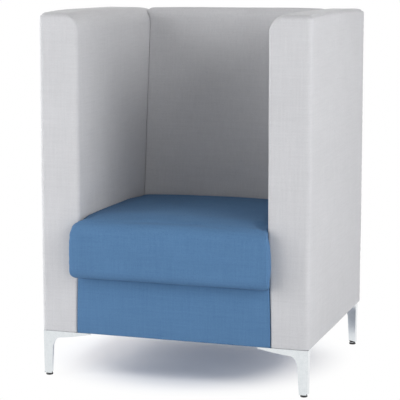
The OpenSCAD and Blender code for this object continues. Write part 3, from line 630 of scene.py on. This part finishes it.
def seamPlaces(counts):
    # where the middles of a ring's four corners are in its order
    first = counts["across"] + counts["corner"] // 2
    second = first + counts["corner"] + counts["along"]
    n = 4 * (counts["across"] + counts["corner"]) + 2 * counts["along"]
    return first, second, n - second, n - first


def sideSeams(places, rows):
    # up the rear edge of the outer wall and along its top edge, at the middle of the rounding
    _, _, rear, front = seamPlaces(panelCounts)
    top = edgeRow(rows, topZ, panel["topOuter"])
    upright = [places[j][rear] for j in range(panel["footRows"], top + 1)]
    return [upright, [places[top][i] for i in range(rear, front + 1)]]


def looseParts(node):
    # the box round each separate solid of a node
    bm = bmesh.new()
    bm.from_mesh(nodes[node].data)
    bmesh.ops.remove_doubles(bm, verts=bm.verts, dist=weldGap)
    left, parts = set(bm.verts), []
    while left:
        stack, part = [left.pop()], []
        while stack:
            v = stack.pop()
            part.append(v.co.copy())
            for edge in v.link_edges:
                other = edge.other_vert(v)
                if other in left:
                    left.remove(other)
                    stack.append(other)
        low, high = ([pick(p[k] for p in part) for k in range(3)] for pick in (min, max))
        parts.append((low, high))
    bm.free()
    return parts


def spacerOpenings(side):
    # room for the spacer blocks where they pass through the cover and the foam of one side
    gap, found = np.array((panel["cloth"], panel["softGap"], panel["softGap"])), []
    for low, high in looseParts("spacer_blocks"):
        if side * (low[0] + high[0]) >= 0:
            found.append((np.array(low) - gap, np.array(high) + gap))
    return found


def makeSide(side, word):
    outer = panelRows(sideSection, 0, outerRows)
    inner = panelRows(sideSection, panel["cloth"], innerRows)
    cover, shown, places = coverPiece(word + "PanelCover", {
        "outer": outer, "inner": inner, "hem": panel["hem"], "bend": sideBend, "counts": panelCounts,
        "mirrored": side < 0}, greyCloth)
    puffSide(cover, shown, side)
    soften(cover, shown, {**panelUneven, "seed": side * panelUneven["seed"]})
    sewSeams(cover, shown, sideSeams(places, outer))
    cutBoxes(cover, spacerOpenings(side))
    onChair(cover, "grey_cloth", word + "_side_cover", fill=0.95)

    board = [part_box(word + "_inner_board"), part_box(word + "_outer_board")]
    low = [min(b[0][k] for b in board) for k in range(3)]
    high = [max(b[1][k] for b in board) for k in range(3)]
    low[2] = baseZ - panel["cloth"]
    e = panel["foamInset"]
    fitFoam(word + "PanelFoam", word + "_side_foam", {
        "rows": panelRows(sideSection, e, foamRows), "lid": foamLid, "inset": e, "bend": sideBend,
        "counts": panelFoamCounts, "mirrored": side < 0}, [(low, high)], spacerOpenings(side))


makeSide(-1, "left")
makeSide(1, "right")
print("side panels made")


# Back panel, which leans back a little and follows the side panels' rounded tops

back = {"topFront": 0.036, "topRear": 0.012, "upright": 0.004, "shoulder": 0.018, "crown": 0.002,
        "topDepth": 0.072, "reclineFrom": 0.444, "rows": (0.006, 18, 9),
        "counts": {"across": 9, "along": 90, "corner": 4},
        "foamCounts": {"across": 3, "along": 12, "corner": 3}}
backPuff = {"front": 0.0025, "rear": 0.00125, "sideFade": 0.09, "fade": 0.10, "footFade": 0.12}
backUneven = {"amount": 0.0008, "size": 0.17, "seed": 9.4}
backDepth = rearY - backFront


def backHalf(z):
    # half the back's width at height z, which follows the side panels' rounded tops up to halfway round
    r = panel["topInner"] + panel["softGap"]
    straight = topZ - panel["topInner"]
    follow = min(z, topZ - panel["topInner"] * (1 - sin45) + panel["softGap"] * sin45)
    reach = math.sqrt(max(0, r * r - (follow - straight) ** 2)) if follow > straight else r
    return innerX + panel["topInner"] - reach - fall(back["shoulder"], topZ - z)


def backSection(z, e):
    # the section's first axis is the chair's depth and its second runs from right to left
    h = topZ - e - z
    foot = footFall(z, e)
    half = backHalf(z) - e - foot
    return (backFront + e + fall(back["topFront"] - e, h) + foot,
            rearY - e - fall(back["topRear"] - e, h) - foot, -half, half, back["upright"] - e)


def backBend(p, e):
    t = (rearY - e - p[:, 0]) / (backDepth - 2 * e)
    raised = clamp((p[:, 2] - back["reclineFrom"]) / (topZ - back["reclineFrom"]))
    y = p[:, 0] + t * (backDepth - back["topDepth"]) * raised
    x = -p[:, 1] * (1 + innerDraw(p[:, 2]) / innerX)
    crown = back["crown"] * crownAt(p[:, 2], np.minimum(1, np.abs(p[:, 1]) / innerX))
    return np.column_stack([x, y, p[:, 2] + crown + panel["crown"] * crownAt(p[:, 2], depthShare(y))])


def puffBack(piece, shown):
    puff = backPuff
    points, normals = readPiece(piece)
    x, z = np.abs(points[:, 0]), points[:, 2]
    sides = rise(innerX - x, puff["sideFade"]) * rise(topZ - z, puff["fade"])
    front = np.where(normals[:, 1] < -faceShare, sides * rise(z - seatTop, puff["fade"]), 0)
    rear = np.where(normals[:, 1] > faceShare, sides * rise(z - baseZ, puff["footFade"]), 0)
    points[:, 1] += shown * (puff["rear"] * rear - puff["front"] * front)
    movePoints(piece, points)


def makeBack():
    outer = panelRows(backSection, 0, back["rows"])
    inner = panelRows(backSection, panel["cloth"], innerRows)
    counts = back["counts"]
    cover, shown, places = coverPiece("backCover", {
        "outer": outer, "inner": inner, "hem": panel["hem"], "bend": backBend, "counts": counts}, greyCloth)
    puffBack(cover, shown)
    soften(cover, shown, backUneven)
    third = seamPlaces(counts)[2]
    top = places[edgeRow(outer, topZ, back["topRear"])]
    sewSeams(cover, shown, [[top[i] for i in range(third, third + counts["along"] + counts["corner"])]])
    onChair(cover, "grey_cloth", "back_cover", fill=0.95)

    low, high = list(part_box("back_front_board")[0]), list(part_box("back_rear_board")[1])
    low[2] = baseZ - panel["cloth"]
    e = panel["foamInset"]
    fitFoam("backFoam", "back_foam", {"rows": panelRows(backSection, e, foamRows), "lid": foamLid, "inset": e,
                                      "bend": backBend, "counts": back["foamCounts"]}, [(low, high)])


makeBack()
print("back panel made")


# Seat cushion: it stands proud of the side panels and swells over their front edges

seat = {"rearTop": 0.450, "rake": 0.0105, "rakeShare": 0.33, "crown": 0.009, "rearCrown": 0.6,
        "waterfall": 0.008, "waterfallFrom": 0.115, "waterfallReach": 0.075, "frontRadius": 0.034,
        "lowRadius": 0.032, "sideRadius": 0.007, "corner": 0.006, "lip": 0.0165, "lipReach": 0.046,
        "lipFade": 0.085, "lipLow": 0.015, "hem": 0.035, "foamInset": 0.0029, "foamLid": 4,
        "counts": {"across": 44, "along": 130, "corner": 8},
        "foamCounts": {"across": 8, "along": 24, "corner": 3}}
# Rows round the lower edge, the step up the walls, and rows round the upper edge and across the lid
fineSeat, coarseSeat = (8, 0.005, 20, 44), (4, 0.03, 6, 5)
air = {"voxel": 0.006, "pressure": 4, "frames": 20, "cap": 0.006, "start": 0.0015, "near": 8, "lid": 5,
       "counts": {"across": 12, "along": 40, "corner": 3}}
# Where the air may move the cushion: it fades in over these lengths, and by how much a point faces up
airMask = {"front": 0.025, "foot": 0.03, "rear": 0.05, "behind": 0.004, "up": 0.6, "between": 0.9}
seatUneven = {"amount": 0.0008, "size": 0.12, "seed": 1.7}
seatSeamFrom = 2
halfSeat = innerX - panel["softGap"]
seatFront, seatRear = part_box("seat_cover")[0].y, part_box("seat_cover")[1].y
lipY = frontY + panel["upright"]


def seatSection(z, e):
    h, g = seat["rearTop"] - e - z, z - seamZ - e
    side = fall(seat["sideRadius"] - e, h) + (fall(panel["foot"], g) if e == 0 else 0)
    return (-halfSeat + e + side, halfSeat - e - side,
            seatFront + e + fall(seat["frontRadius"] - e, h) + fall(seat["lowRadius"] - e, g),
            seatRear - e - side, seat["corner"] - e)


def lipOut(y, z, e):
    # how far the cushion swells out over the side panels' fronts
    r = panel["upright"] + panel["softGap"] + e
    d = np.maximum(0, lipY - y)
    lip = seat["lip"] * np.sin(math.pi / 2 * clamp(d / seat["lipReach"]))
    lip = np.where(d < r, np.minimum(lip, r - np.sqrt(np.maximum(0, r * r - d * d))), lip)
    lip *= 1 - fall(seat["lipLow"], np.maximum(0, z - seamZ - e)) / seat["lipLow"]
    return lip * (1 - fall(seat["lipFade"], np.maximum(0, seat["rearTop"] - e - z)) / seat["lipFade"])


def topUp(w, y):
    # the top's climb from the rear, its crown across and the waterfall at the front
    forward = (seatRear - y) / (seatRear - seatFront)
    climb = seat["rake"] * np.sin(math.pi / 2 * clamp(forward / seat["rakeShare"]))
    fullness = seat["rearCrown"] + (1 - seat["rearCrown"]) * np.sin(math.pi * clamp(forward))
    drop = seat["waterfall"] * rise(seat["waterfallFrom"] + seatFront - y, seat["waterfallReach"])
    return climb + seat["crown"] * (1 - w * w) * fullness - drop


def seatBend(p, e):
    x, y, z = p.T
    w = x / halfSeat
    top = clamp((z - seat["rearTop"]) / panel["crownFade"] + 1)
    return np.column_stack([x + w * lipOut(y, z, e), y, z + top * topUp(w, y)])


def seatRows(e, rowCounts):
    body = seamZ, seat["rearTop"], seat["lowRadius"], seat["frontRadius"]
    return bodyRows(seatSection, e, body, rowCounts)


def airFilled(rings):
    # lets air pressure swell a copy of a closed skin, and gives where its points were and their way out
    points, faces, _ = joinRings(rings)
    trial = pieceFrom("airTrial", points, faces, finishes["foam"])
    voxels = trial.modifiers.new("voxels", "REMESH")
    voxels.mode = "VOXEL"
    voxels.voxel_size = air["voxel"]
    applyModifiers(trial)
    before, normals = readPiece(trial)
    cloth = trial.modifiers.new("air", "CLOTH")
    cloth.settings.use_pressure = True
    cloth.settings.uniform_pressure_force = air["pressure"]
    cloth.settings.effector_weights.gravity = 0
    cloth.point_cache.frame_end = air["frames"]
    for step in range(1, air["frames"] + 1):
        scene.frame_set(step)
    after = np.zeros(len(before) * 3)
    view = bpy.context.evaluated_depsgraph_get()
    trial.evaluated_get(view).data.vertices.foreach_get("co", after)
    scene.frame_set(1)
    bpy.data.objects.remove(trial)
    out = ((after.reshape(-1, 3) - before) * normals).sum(axis=1)
    return before, np.maximum(0, out)


def swell(piece, shown, places, out, mask):
    # carries the swelling over to the fine mesh, no further than its cap
    tree = placeTree(places)

    def amount(i, point):
        near = tree.find_n(Vector(point), air["near"])
        weights = [1 / (d + air["voxel"] / 4) ** 2 for _, _, d in near]
        mean = sum(w * out[k] for w, (_, k, _) in zip(weights, near)) / sum(weights)
        return mask[i] * (air["cap"] * math.tanh(mean / air["cap"]) - air["start"])

    pushOut(piece, (shown > 0.5) & (mask > 0), amount)


def maskAir(piece):
    # 1 where the cushion is free to swell, and 0 where panels or the seat box hold it
    points, normals = readPiece(piece)
    y, z, up = points[:, 1], points[:, 2], normals[:, 2]
    free = np.maximum(rise(frontY - panel["softGap"] - y, airMask["front"]), rise(up, airMask["up"]))
    mask = free * rise(z - seamZ, airMask["foot"]) * rise(seatRear - y, airMask["rear"])
    between = (y > frontY - airMask["behind"]) & (up < airMask["between"])
    return mask * np.where(between, rise(up, airMask["between"]), 1)


def seatSeams(places, rows):
    # up the cushion's front corners and along the sides of its top
    counts = seat["counts"]
    first, _, _, last = seamPlaces(counts)
    top = edgeRow(rows, seat["rearTop"], seat["sideRadius"])
    reach = counts["along"] + counts["corner"] // 2
    lines = [[places[j][i] for j in range(seatSeamFrom, top + 1)] for i in (first, last)]
    return lines + [[places[top][i] for i in range(first, first + reach)],
                    [places[top][i] for i in range(last - reach, last + 1)]]


def makeCushion():
    outer, inner = seatRows(0, fineSeat), seatRows(panel["cloth"], coarseSeat)
    cover, shown, places = coverPiece("cushionCover", {
        "outer": outer, "inner": inner, "hem": seat["hem"], "bend": seatBend,
        "counts": seat["counts"]}, blueCloth)
    mask = maskAir(cover)
    before, out = airFilled(closedRings({"rows": seatRows(0, coarseSeat), "lid": air["lid"], "inset": 0,
                                         "bend": seatBend, "counts": air["counts"]}))
    print("cushion swelled by up to", round(float(out.max()) * 1000, 1), "mm")
    swell(cover, shown, before, out, mask)
    soften(cover, shown * (mask > 0), seatUneven)
    sewSeams(cover, shown, seatSeams(places, outer))
    onChair(cover, "blue_cloth", "seat_cover", fill=0.9)

    e = seat["foamInset"]
    fitFoam("cushionFoam", "seat_foam", {"rows": seatRows(e, coarseSeat), "lid": seat["foamLid"], "inset": e,
                                         "bend": seatBend, "counts": seat["foamCounts"]})


makeCushion()
print("cushion made")


# Apron below the cushion, flush with the side panels

apron = {"radius": 0.005, "leastCorner": 0.001, "hem": 0.006, "foamInset": 0.0023, "puff": 0.001,
         "sideFade": 0.07, "fade": 0.05, "counts": {"across": 80, "along": 5, "corner": 4},
         "foamCounts": {"across": 10, "along": 3, "corner": 3}}
fineApron, innerApron, foamApron = (5, 0.006, 5, 3), (2, 0.03, 2, 3), (3, 0.03, 3, 3)
apronUneven = {"amount": 0.0005, "size": 0.10, "seed": 4.3}
apronLow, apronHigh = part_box("apron_cover")


def apronSection(z, e):
    r = apron["radius"] - e
    front = fall(r, apronHigh.z - e - z) + fall(r, z - baseZ - e)
    half = innerX - panel["softGap"] - e
    return (-half, half, apronLow.y + e + front, apronHigh.y - e, apron["leastCorner"] + r / 2)


def apronBend(p, e):
    return np.column_stack([p[:, 0] * (1 + innerDraw(p[:, 2]) / innerX), p[:, 1], p[:, 2]])


def apronRows(e, rowCounts):
    return bodyRows(apronSection, e, (baseZ, apronHigh.z, apron["radius"], apron["radius"]), rowCounts)


def makeApron():
    cover, shown, _ = coverPiece("apronCover", {
        "outer": apronRows(0, fineApron), "inner": apronRows(panel["cloth"], innerApron), "hem": apron["hem"],
        "bend": apronBend, "counts": apron["counts"]}, blueCloth)
    points, normals = readPiece(cover)
    x, z = np.abs(points[:, 0]), points[:, 2]
    front = shown * (normals[:, 1] < -faceShare)
    full = rise(z - baseZ, apron["fade"]) * rise(seamZ - z, apron["fade"])
    points[:, 1] -= apron["puff"] * front * full * rise(innerX - x, apron["sideFade"])
    movePoints(cover, points)
    soften(cover, front, apronUneven)
    onChair(cover, "blue_cloth", "apron_cover", fill=0.95)

    low, high = [list(corner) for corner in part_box("apron_board")]
    low[2], high[1] = baseZ - panel["cloth"], apronHigh.y + panel["cloth"]
    e = apron["foamInset"]
    fitFoam("apronFoam", "apron_foam", {"rows": apronRows(e, foamApron), "lid": foamLid, "inset": e,
                                        "bend": apronBend, "counts": apron["foamCounts"]}, [(low, high)])


makeApron()
print("apron made")


# Seat suspension: interlaced webbing, a felt on top, and the dust cover below

webbing = {"width": 0.050, "thick": 0.0016, "low": 0.285, "high": 0.287, "step": 0.005, "end": 0.012}


def strapHeight(s, crossings, above):
    # height of a strap's middle, with s along it and the places of the straps that it crosses
    z = webbing["low"]
    for place, over in zip(crossings, above):
        if over:
            near = 1 - rise(abs(s - place) - webbing["width"] / 2, webbing["end"])
            z = max(z, webbing["low"] + (webbing["high"] - webbing["low"]) * float(near))
    return z


def strapPoints(low, high, axis, crossings, above):
    # four points round the strap at each step along the axis
    count = round((high[axis] - low[axis]) / webbing["step"])
    points, t = [], webbing["thick"] / 2
    for i in range(count + 1):
        s = low[axis] + (high[axis] - low[axis]) * i / count
        z = strapHeight(s, crossings, above)
        for side, up in ((low, -t), (low, t), (high, t), (high, -t)):
            p = [0, 0, z + up]
            p[axis], p[1 - axis] = s, side[1 - axis]
            points.append(p)
    return points


def makeWebbing():
    straps = [looseParts("seat_webbing_cross"), looseParts("seat_webbing_long")]
    made = []
    for axis, name, node in ((1, "longWebbing", "seat_webbing_long"),
                             (0, "crossWebbing", "seat_webbing_cross")):
        crossings = sorted((low[axis] + high[axis]) / 2 for low, high in straps[1 - axis])
        points, faces = [], []
        for index, (low, high) in enumerate(sorted(straps[axis], key=lambda box: box[0][1 - axis])):
            above = [(index + j + axis) % 2 == 0 for j in range(len(crossings))]
            strap = strapPoints(low, high, axis, crossings, above)
            faces += tubeFaces(4, len(strap) // 4, len(points))
            points += strap
        piece = pieceFrom(name, points, faces, finishes["webbing"], smooth=False)
        onChair(piece, "webbing", node)
        made.append(piece)
    return made


sheet = {"count": 60, "edge": 4, "rumple": 0.0003, "rumpleSize": 0.05, "sag": 0.003}


def makeSheet(name, node, slotName, lift):
    # a thin cloth over a node's box, whose height lift changes away from the edges, and its flat size
    low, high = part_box(node)
    count = sheet["count"]
    points, faces, n = [], [], count + 1
    for z in (low.z, high.z):
        for j in range(n):
            for i in range(n):
                x = low.x + (high.x - low.x) * i / count
                y = low.y + (high.y - low.y) * j / count
                edge = min(1, min(i, count - i, j, count - j) / sheet["edge"])
                points.append((x, y, z + lift(x, y, i / count, j / count) * edge))
    for j in range(count):
        for i in range(count):
            a = j * n + i
            faces += [[a, a + n, a + n + 1, a + 1],
                      [n * n + a, n * n + a + 1, n * n + a + n + 1, n * n + a + n]]
    rim = (list(range(count)) + [count + j * n for j in range(count)]
           + [count * n + i for i in range(count, 0, -1)] + [j * n for j in range(count, 0, -1)])
    faces += [[a, b, b + n * n, a + n * n] for a, b in zip(rim, rim[1:] + rim[:1])]
    piece = pieceFrom(name, points, faces, finishes[slotName])
    onChair(piece, slotName, node)
    return piece, (high.x - low.x, high.y - low.y)


def feltLift(x, y, u, v):
    return sheet["rumple"] * noise.noise(Vector((x, y, 0)) / sheet["rumpleSize"])


def dustLift(x, y, u, v):
    return -sheet["sag"] * math.sin(math.pi * u) * math.sin(math.pi * v)


webbingPieces = makeWebbing()
feltPiece, feltSize = makeSheet("seatFelt", "seat_felt", "felt", feltLift)
dustPiece, dustSize = makeSheet("dustCover", "dust_cover", "nonwoven", dustLift)
print("suspension and dust cover made")


# Legs: cast corner legs, drawn with the outer corner at the origin, u along the arm and v along the panel

leg = {"arm": 0.142, "tipHeight": 0.0035, "rootHeight": 0.0176, "rootReach": 0.052, "armDepth": 0.009,
       "headHeight": 0.045, "headWidth": 0.0296, "footWidth": 0.0245, "postDepth": 0.028, "corner": 0.005,
       "lean": 0.0015, "edge": 0.0013, "flare": 0.016, "flareHeight": 0.022, "footZ": 0.011, "skirtZ": 0.0072,
       "wall": 0.0009, "throat": 1.15, "bow": 0.42, "glide": (0.013, 0.012), "bore": 0.0042,
       "boreTop": 0.0395, "flange": (0.012, 0.080, 0.012, 0.074), "flangeThick": 0.005, "flangeCut": 0.026,
       "inset": 0.0035,
       "rearInset": 0.024, "beyond": 0.3, "curveSteps": 14, "postSteps": 8, "edgeSteps": 4, "boreSteps": 48,
       "longestEdge": 0.45, "weld": 0.00002, "smoothAngle": 35}


def curve(a, b, c, steps):
    # points on a quadratic curve from a to c, drawn towards b
    a, b, c = np.array(a), np.array(b), np.array(c)
    return [(1 - t) ** 2 * a + 2 * t * (1 - t) * b + t * t * c for t in (i / steps for i in range(steps + 1))]


def armEdge():
    # the arm's underside and the post's inner edge in the front view, from the tip down to the foot
    tip, root = (leg["arm"], -leg["tipHeight"]), (leg["rootReach"], -leg["rootHeight"])
    head = (leg["headWidth"], -leg["headHeight"])
    bow = (root[0] + leg["bow"] * (tip[0] - root[0]), root[1] + leg["bow"] / 2 * (tip[1] - root[1]))
    throat = (head[0] * leg["throat"], root[1] * leg["throat"])
    foot = (leg["footWidth"], leg["skirtZ"] - baseZ)
    edge = curve(tip, bow, root, leg["curveSteps"])[:-1] + curve(root, throat, head, leg["curveSteps"])[:-1]
    return edge + [np.array(head) + (np.array(foot) - head) * i / leg["postSteps"]
                   for i in range(leg["postSteps"] + 1)]


def roundedRing(corners, steps):
    # a polygon of (u, v, radius) corners with each corner rounded by the same number of points
    points, n = [], len(corners)
    for i, (u, v, r) in enumerate(corners):
        p = np.array([u, v])
        ends = []
        for other in (corners[i - 1], corners[(i + 1) % n]):
            d = np.array(other[:2]) - p
            length = np.linalg.norm(d)
            ends.append(p + d / length * min(r, length * leg["longestEdge"]))
        points += curve(ends[0], p, ends[1], steps)
    return points


def legSection(u1, z):
    # the leg's plan at height z, cut off at u1 by the underside of the arm
    drop = -z / (baseZ - leg["footZ"])
    s = leg["lean"] * drop
    near = min(1, max(0, 1 + z / leg["flareHeight"]))
    deep = leg["postDepth"] - leg["lean"] * drop + leg["flare"] * (1 - math.sqrt(1 - near ** 2))
    kneeU, e = leg["headWidth"] + s, leg["edge"]

    def diagonal(u):
        return deep + (leg["armDepth"] - deep) * (u - s) / (kneeU - s)

    knee = min(kneeU, u1 - 2 * e)
    outerV = diagonal(u1) if u1 < kneeU else leg["armDepth"]
    return roundedRing([(s, 0, leg["corner"]), (s, deep, e), (knee, diagonal(knee), 2 * e), (u1, outerV, e),
                        (u1, 0, e)], leg["edgeSteps"])


def solidPrism(name, plan, low, high):
    points = [(u, v, z) for z in (low, high) for u, v in plan]
    return pieceFrom(name, points, tubeFaces(len(plan), 2), finishes["polished_metal"])


def fitLeg(piece):
    # the flange is cast on, and the foot's inside and the glide's bore are cut out
    u0, u1, v0, v1 = leg["flange"]
    cut = leg["flangeCut"]
    plate = [(u0, v0), (u0, v1), (u1 - cut, v1), (u1, v1 - cut), (u1, v0)]
    combine(piece, solidPrism("flange", plate, -leg["flangeThick"], 0), "UNION")
    inU, inV, far = leg["lean"] + leg["wall"], leg["wall"], leg["beyond"]
    room = [(inU, inV), (inU, far), (far, far), (far, inV)]
    combine(piece, solidPrism("plugRoom", room, -baseZ, leg["footZ"] - baseZ), "DIFFERENCE")
    gu, gv = leg["glide"]
    turns = [2 * math.pi * i / leg["boreSteps"] for i in range(leg["boreSteps"])]
    ring = [(gu + leg["bore"] * math.cos(a), gv + leg["bore"] * math.sin(a)) for a in turns]
    combine(piece, solidPrism("bore", ring, -baseZ, leg["boreTop"] - baseZ), "DIFFERENCE")


def smoothLeg(piece):
    bm = bmesh.new()
    bm.from_mesh(piece.data)
    bmesh.ops.remove_doubles(bm, verts=bm.verts, dist=leg["weld"])
    bmesh.ops.recalc_face_normals(bm, faces=bm.faces)
    bm.to_mesh(piece.data)
    bm.free()
    piece.data.polygons.foreach_set("use_smooth", [True] * len(piece.data.polygons))
    piece.data.set_sharp_from_angle(angle=math.radians(leg["smoothAngle"]))
    weights = piece.modifiers.new("weights", "WEIGHTED_NORMAL")
    weights.keep_sharp = True


def makeLeg(side, rear, node, name):
    sections = [(leg["arm"], 0.0)] + [(p[0], p[1]) for p in armEdge()]
    rings = [legSection(u1, z) for u1, z in sections]
    points = [(u, v, z) for ring, (_, z) in zip(rings, sections) for u, v in ring]
    piece = pieceFrom(name, points, tubeFaces(len(rings[0]), len(rings)), finishes["polished_metal"])
    fitLeg(piece)
    local, _ = readPiece(piece)
    x = side * (outerX - leg["inset"] - local[:, 0])
    y = rearY - leg["rearInset"] - local[:, 1] if rear else frontY + local[:, 1]
    movePoints(piece, np.column_stack([x, y, baseZ + local[:, 2]]))
    smoothLeg(piece)
    onChair(piece, "polished_metal", node)


for depth in ("front", "rear"):
    for side, word in ((-1, "left"), (1, "right")):
        makeLeg(side, depth == "rear", "leg_" + depth + "_" + word, "leg" + depth.title() + word.title())
print("legs made")


# Floor, backdrop and light

# glow and its tint are a painted glow on the seen floor, which lightens the chair's shadow and tints it blue
studio = {"dome": 0.23, "paper": "#F0F1F3", "glow": 0.15, "shadowGlowTint": "#B2CFFF", "size": 30,
          "middle": (-0.05, 0.05, 0), "fadeFrom": 0.24, "fadeTo": 0.48}
# Round soft lamps: the place and the watts of each. All have one size and point at the chair's middle
lamps = {
    "left": ((-3.88, 0.34, 2.32), 62),
    "lowLeft": ((-3.86, -1.80, 1.10), 62),
    "leftFront": ((-2.85, -2.39, 2.65), 31),
    "lowFrontLeft": ((-2.13, -3.69, 1.10), 33),
    "lowFrontRight": ((2.44, -3.49, 1.10), 28),
    "rightFront": ((3.38, -1.95, 2.32), 54),
    "lowRight": ((4.11, -1.10, 1.10), 38),
    "right": ((3.90, 0.0, 2.32), 20),
    "topRear": ((-0.60, 2.90, 2.70), 58),
}
lampSize = 1.8
aim = Vector((0, 0, 0.5))


def seenRays(tree):
    # 1 for the rays that show the background: those from the camera, and in reflections and clear pieces
    ray = addNode(tree, "LightPath").outputs
    mirrored = addNode(tree, "Math", {0: ray["Is Glossy Ray"], 1: ray["Is Transmission Ray"]},
                       operation="MAXIMUM")
    return addNode(tree, "Math", {0: ray["Is Camera Ray"], 1: mirrored}, operation="MAXIMUM")


def makeWorld():
    # a faint even glow on the chair, and plain white where the background is seen
    world = bpy.data.worlds.new("studio")
    scene.world = world
    world.use_nodes = True
    tree = world.node_tree
    tree.nodes.clear()
    strength = addNode(tree, "MapRange", {"Value": seenRays(tree), "To Min": studio["dome"]})
    glow = addNode(tree, "Background", {"Color": (1, 1, 1, 1), "Strength": strength})
    addNode(tree, "OutputWorld", {"Surface": glow})


def makeFloor():
    # matt white paper floor: it keeps the chair's shadow and fades into the white background where it is
    # seen. Where seen, it also has a painted glow, a faint blue emission that lightens the shadow and tints
    # it blue
    material, tree = newMaterial("mattPaperFloor")
    shown = seenRays(tree)
    away = addNode(tree, "VectorMath", {0: addNode(tree, "TexCoord").outputs["Object"], 1: studio["middle"]},
                   operation="DISTANCE")
    fade = addNode(tree, "MapRange", {"Value": away.outputs["Value"], "From Min": studio["fadeFrom"],
                                      "From Max": studio["fadeTo"]}, interpolation_type="SMOOTHSTEP")
    white = addNode(tree, "Math", {0: shown, 1: fade}, operation="MULTIPLY")
    paper = addNode(tree, "BsdfDiffuse", {"Color": linear(studio["paper"])})
    # painted glow: faint blue emission on the seen floor that lightens the chair's shadow and tints it blue
    strength = addNode(tree, "Math", {0: shown, 1: studio["glow"]}, operation="MULTIPLY")
    glow = addNode(tree, "Emission", {"Color": linear(studio["shadowGlowTint"]), "Strength": strength})
    near = addNode(tree, "AddShader", {0: paper, 1: glow})
    far = addNode(tree, "Emission", {"Color": (1, 1, 1, 1)})
    addNode(tree, "OutputMaterial", {"Surface": addNode(tree, "MixShader", {0: white, 1: near, 2: far})})
    half = studio["size"] / 2
    corners = [(-half, -half, 0), (half, -half, 0), (half, half, 0), (-half, half, 0)]
    floor = pieceFrom("floor", corners, [[0, 1, 2, 3]], material, smooth=False)


def makeLamps():
    for name, (place, watts) in lamps.items():
        data = bpy.data.lights.new(name, "AREA")
        data.shape = "DISK"
        data.size = lampSize
        data.energy = watts
        light = bpy.data.objects.new(name, data)
        scene.collection.objects.link(light)
        light.location = place
        light.rotation_euler = (aim - Vector(place)).to_track_quat("-Z", "Y").to_euler()


makeWorld()
makeFloor()
makeLamps()
scene.view_settings.view_transform = "Standard"
print("floor and light set")

print("pieces ready")
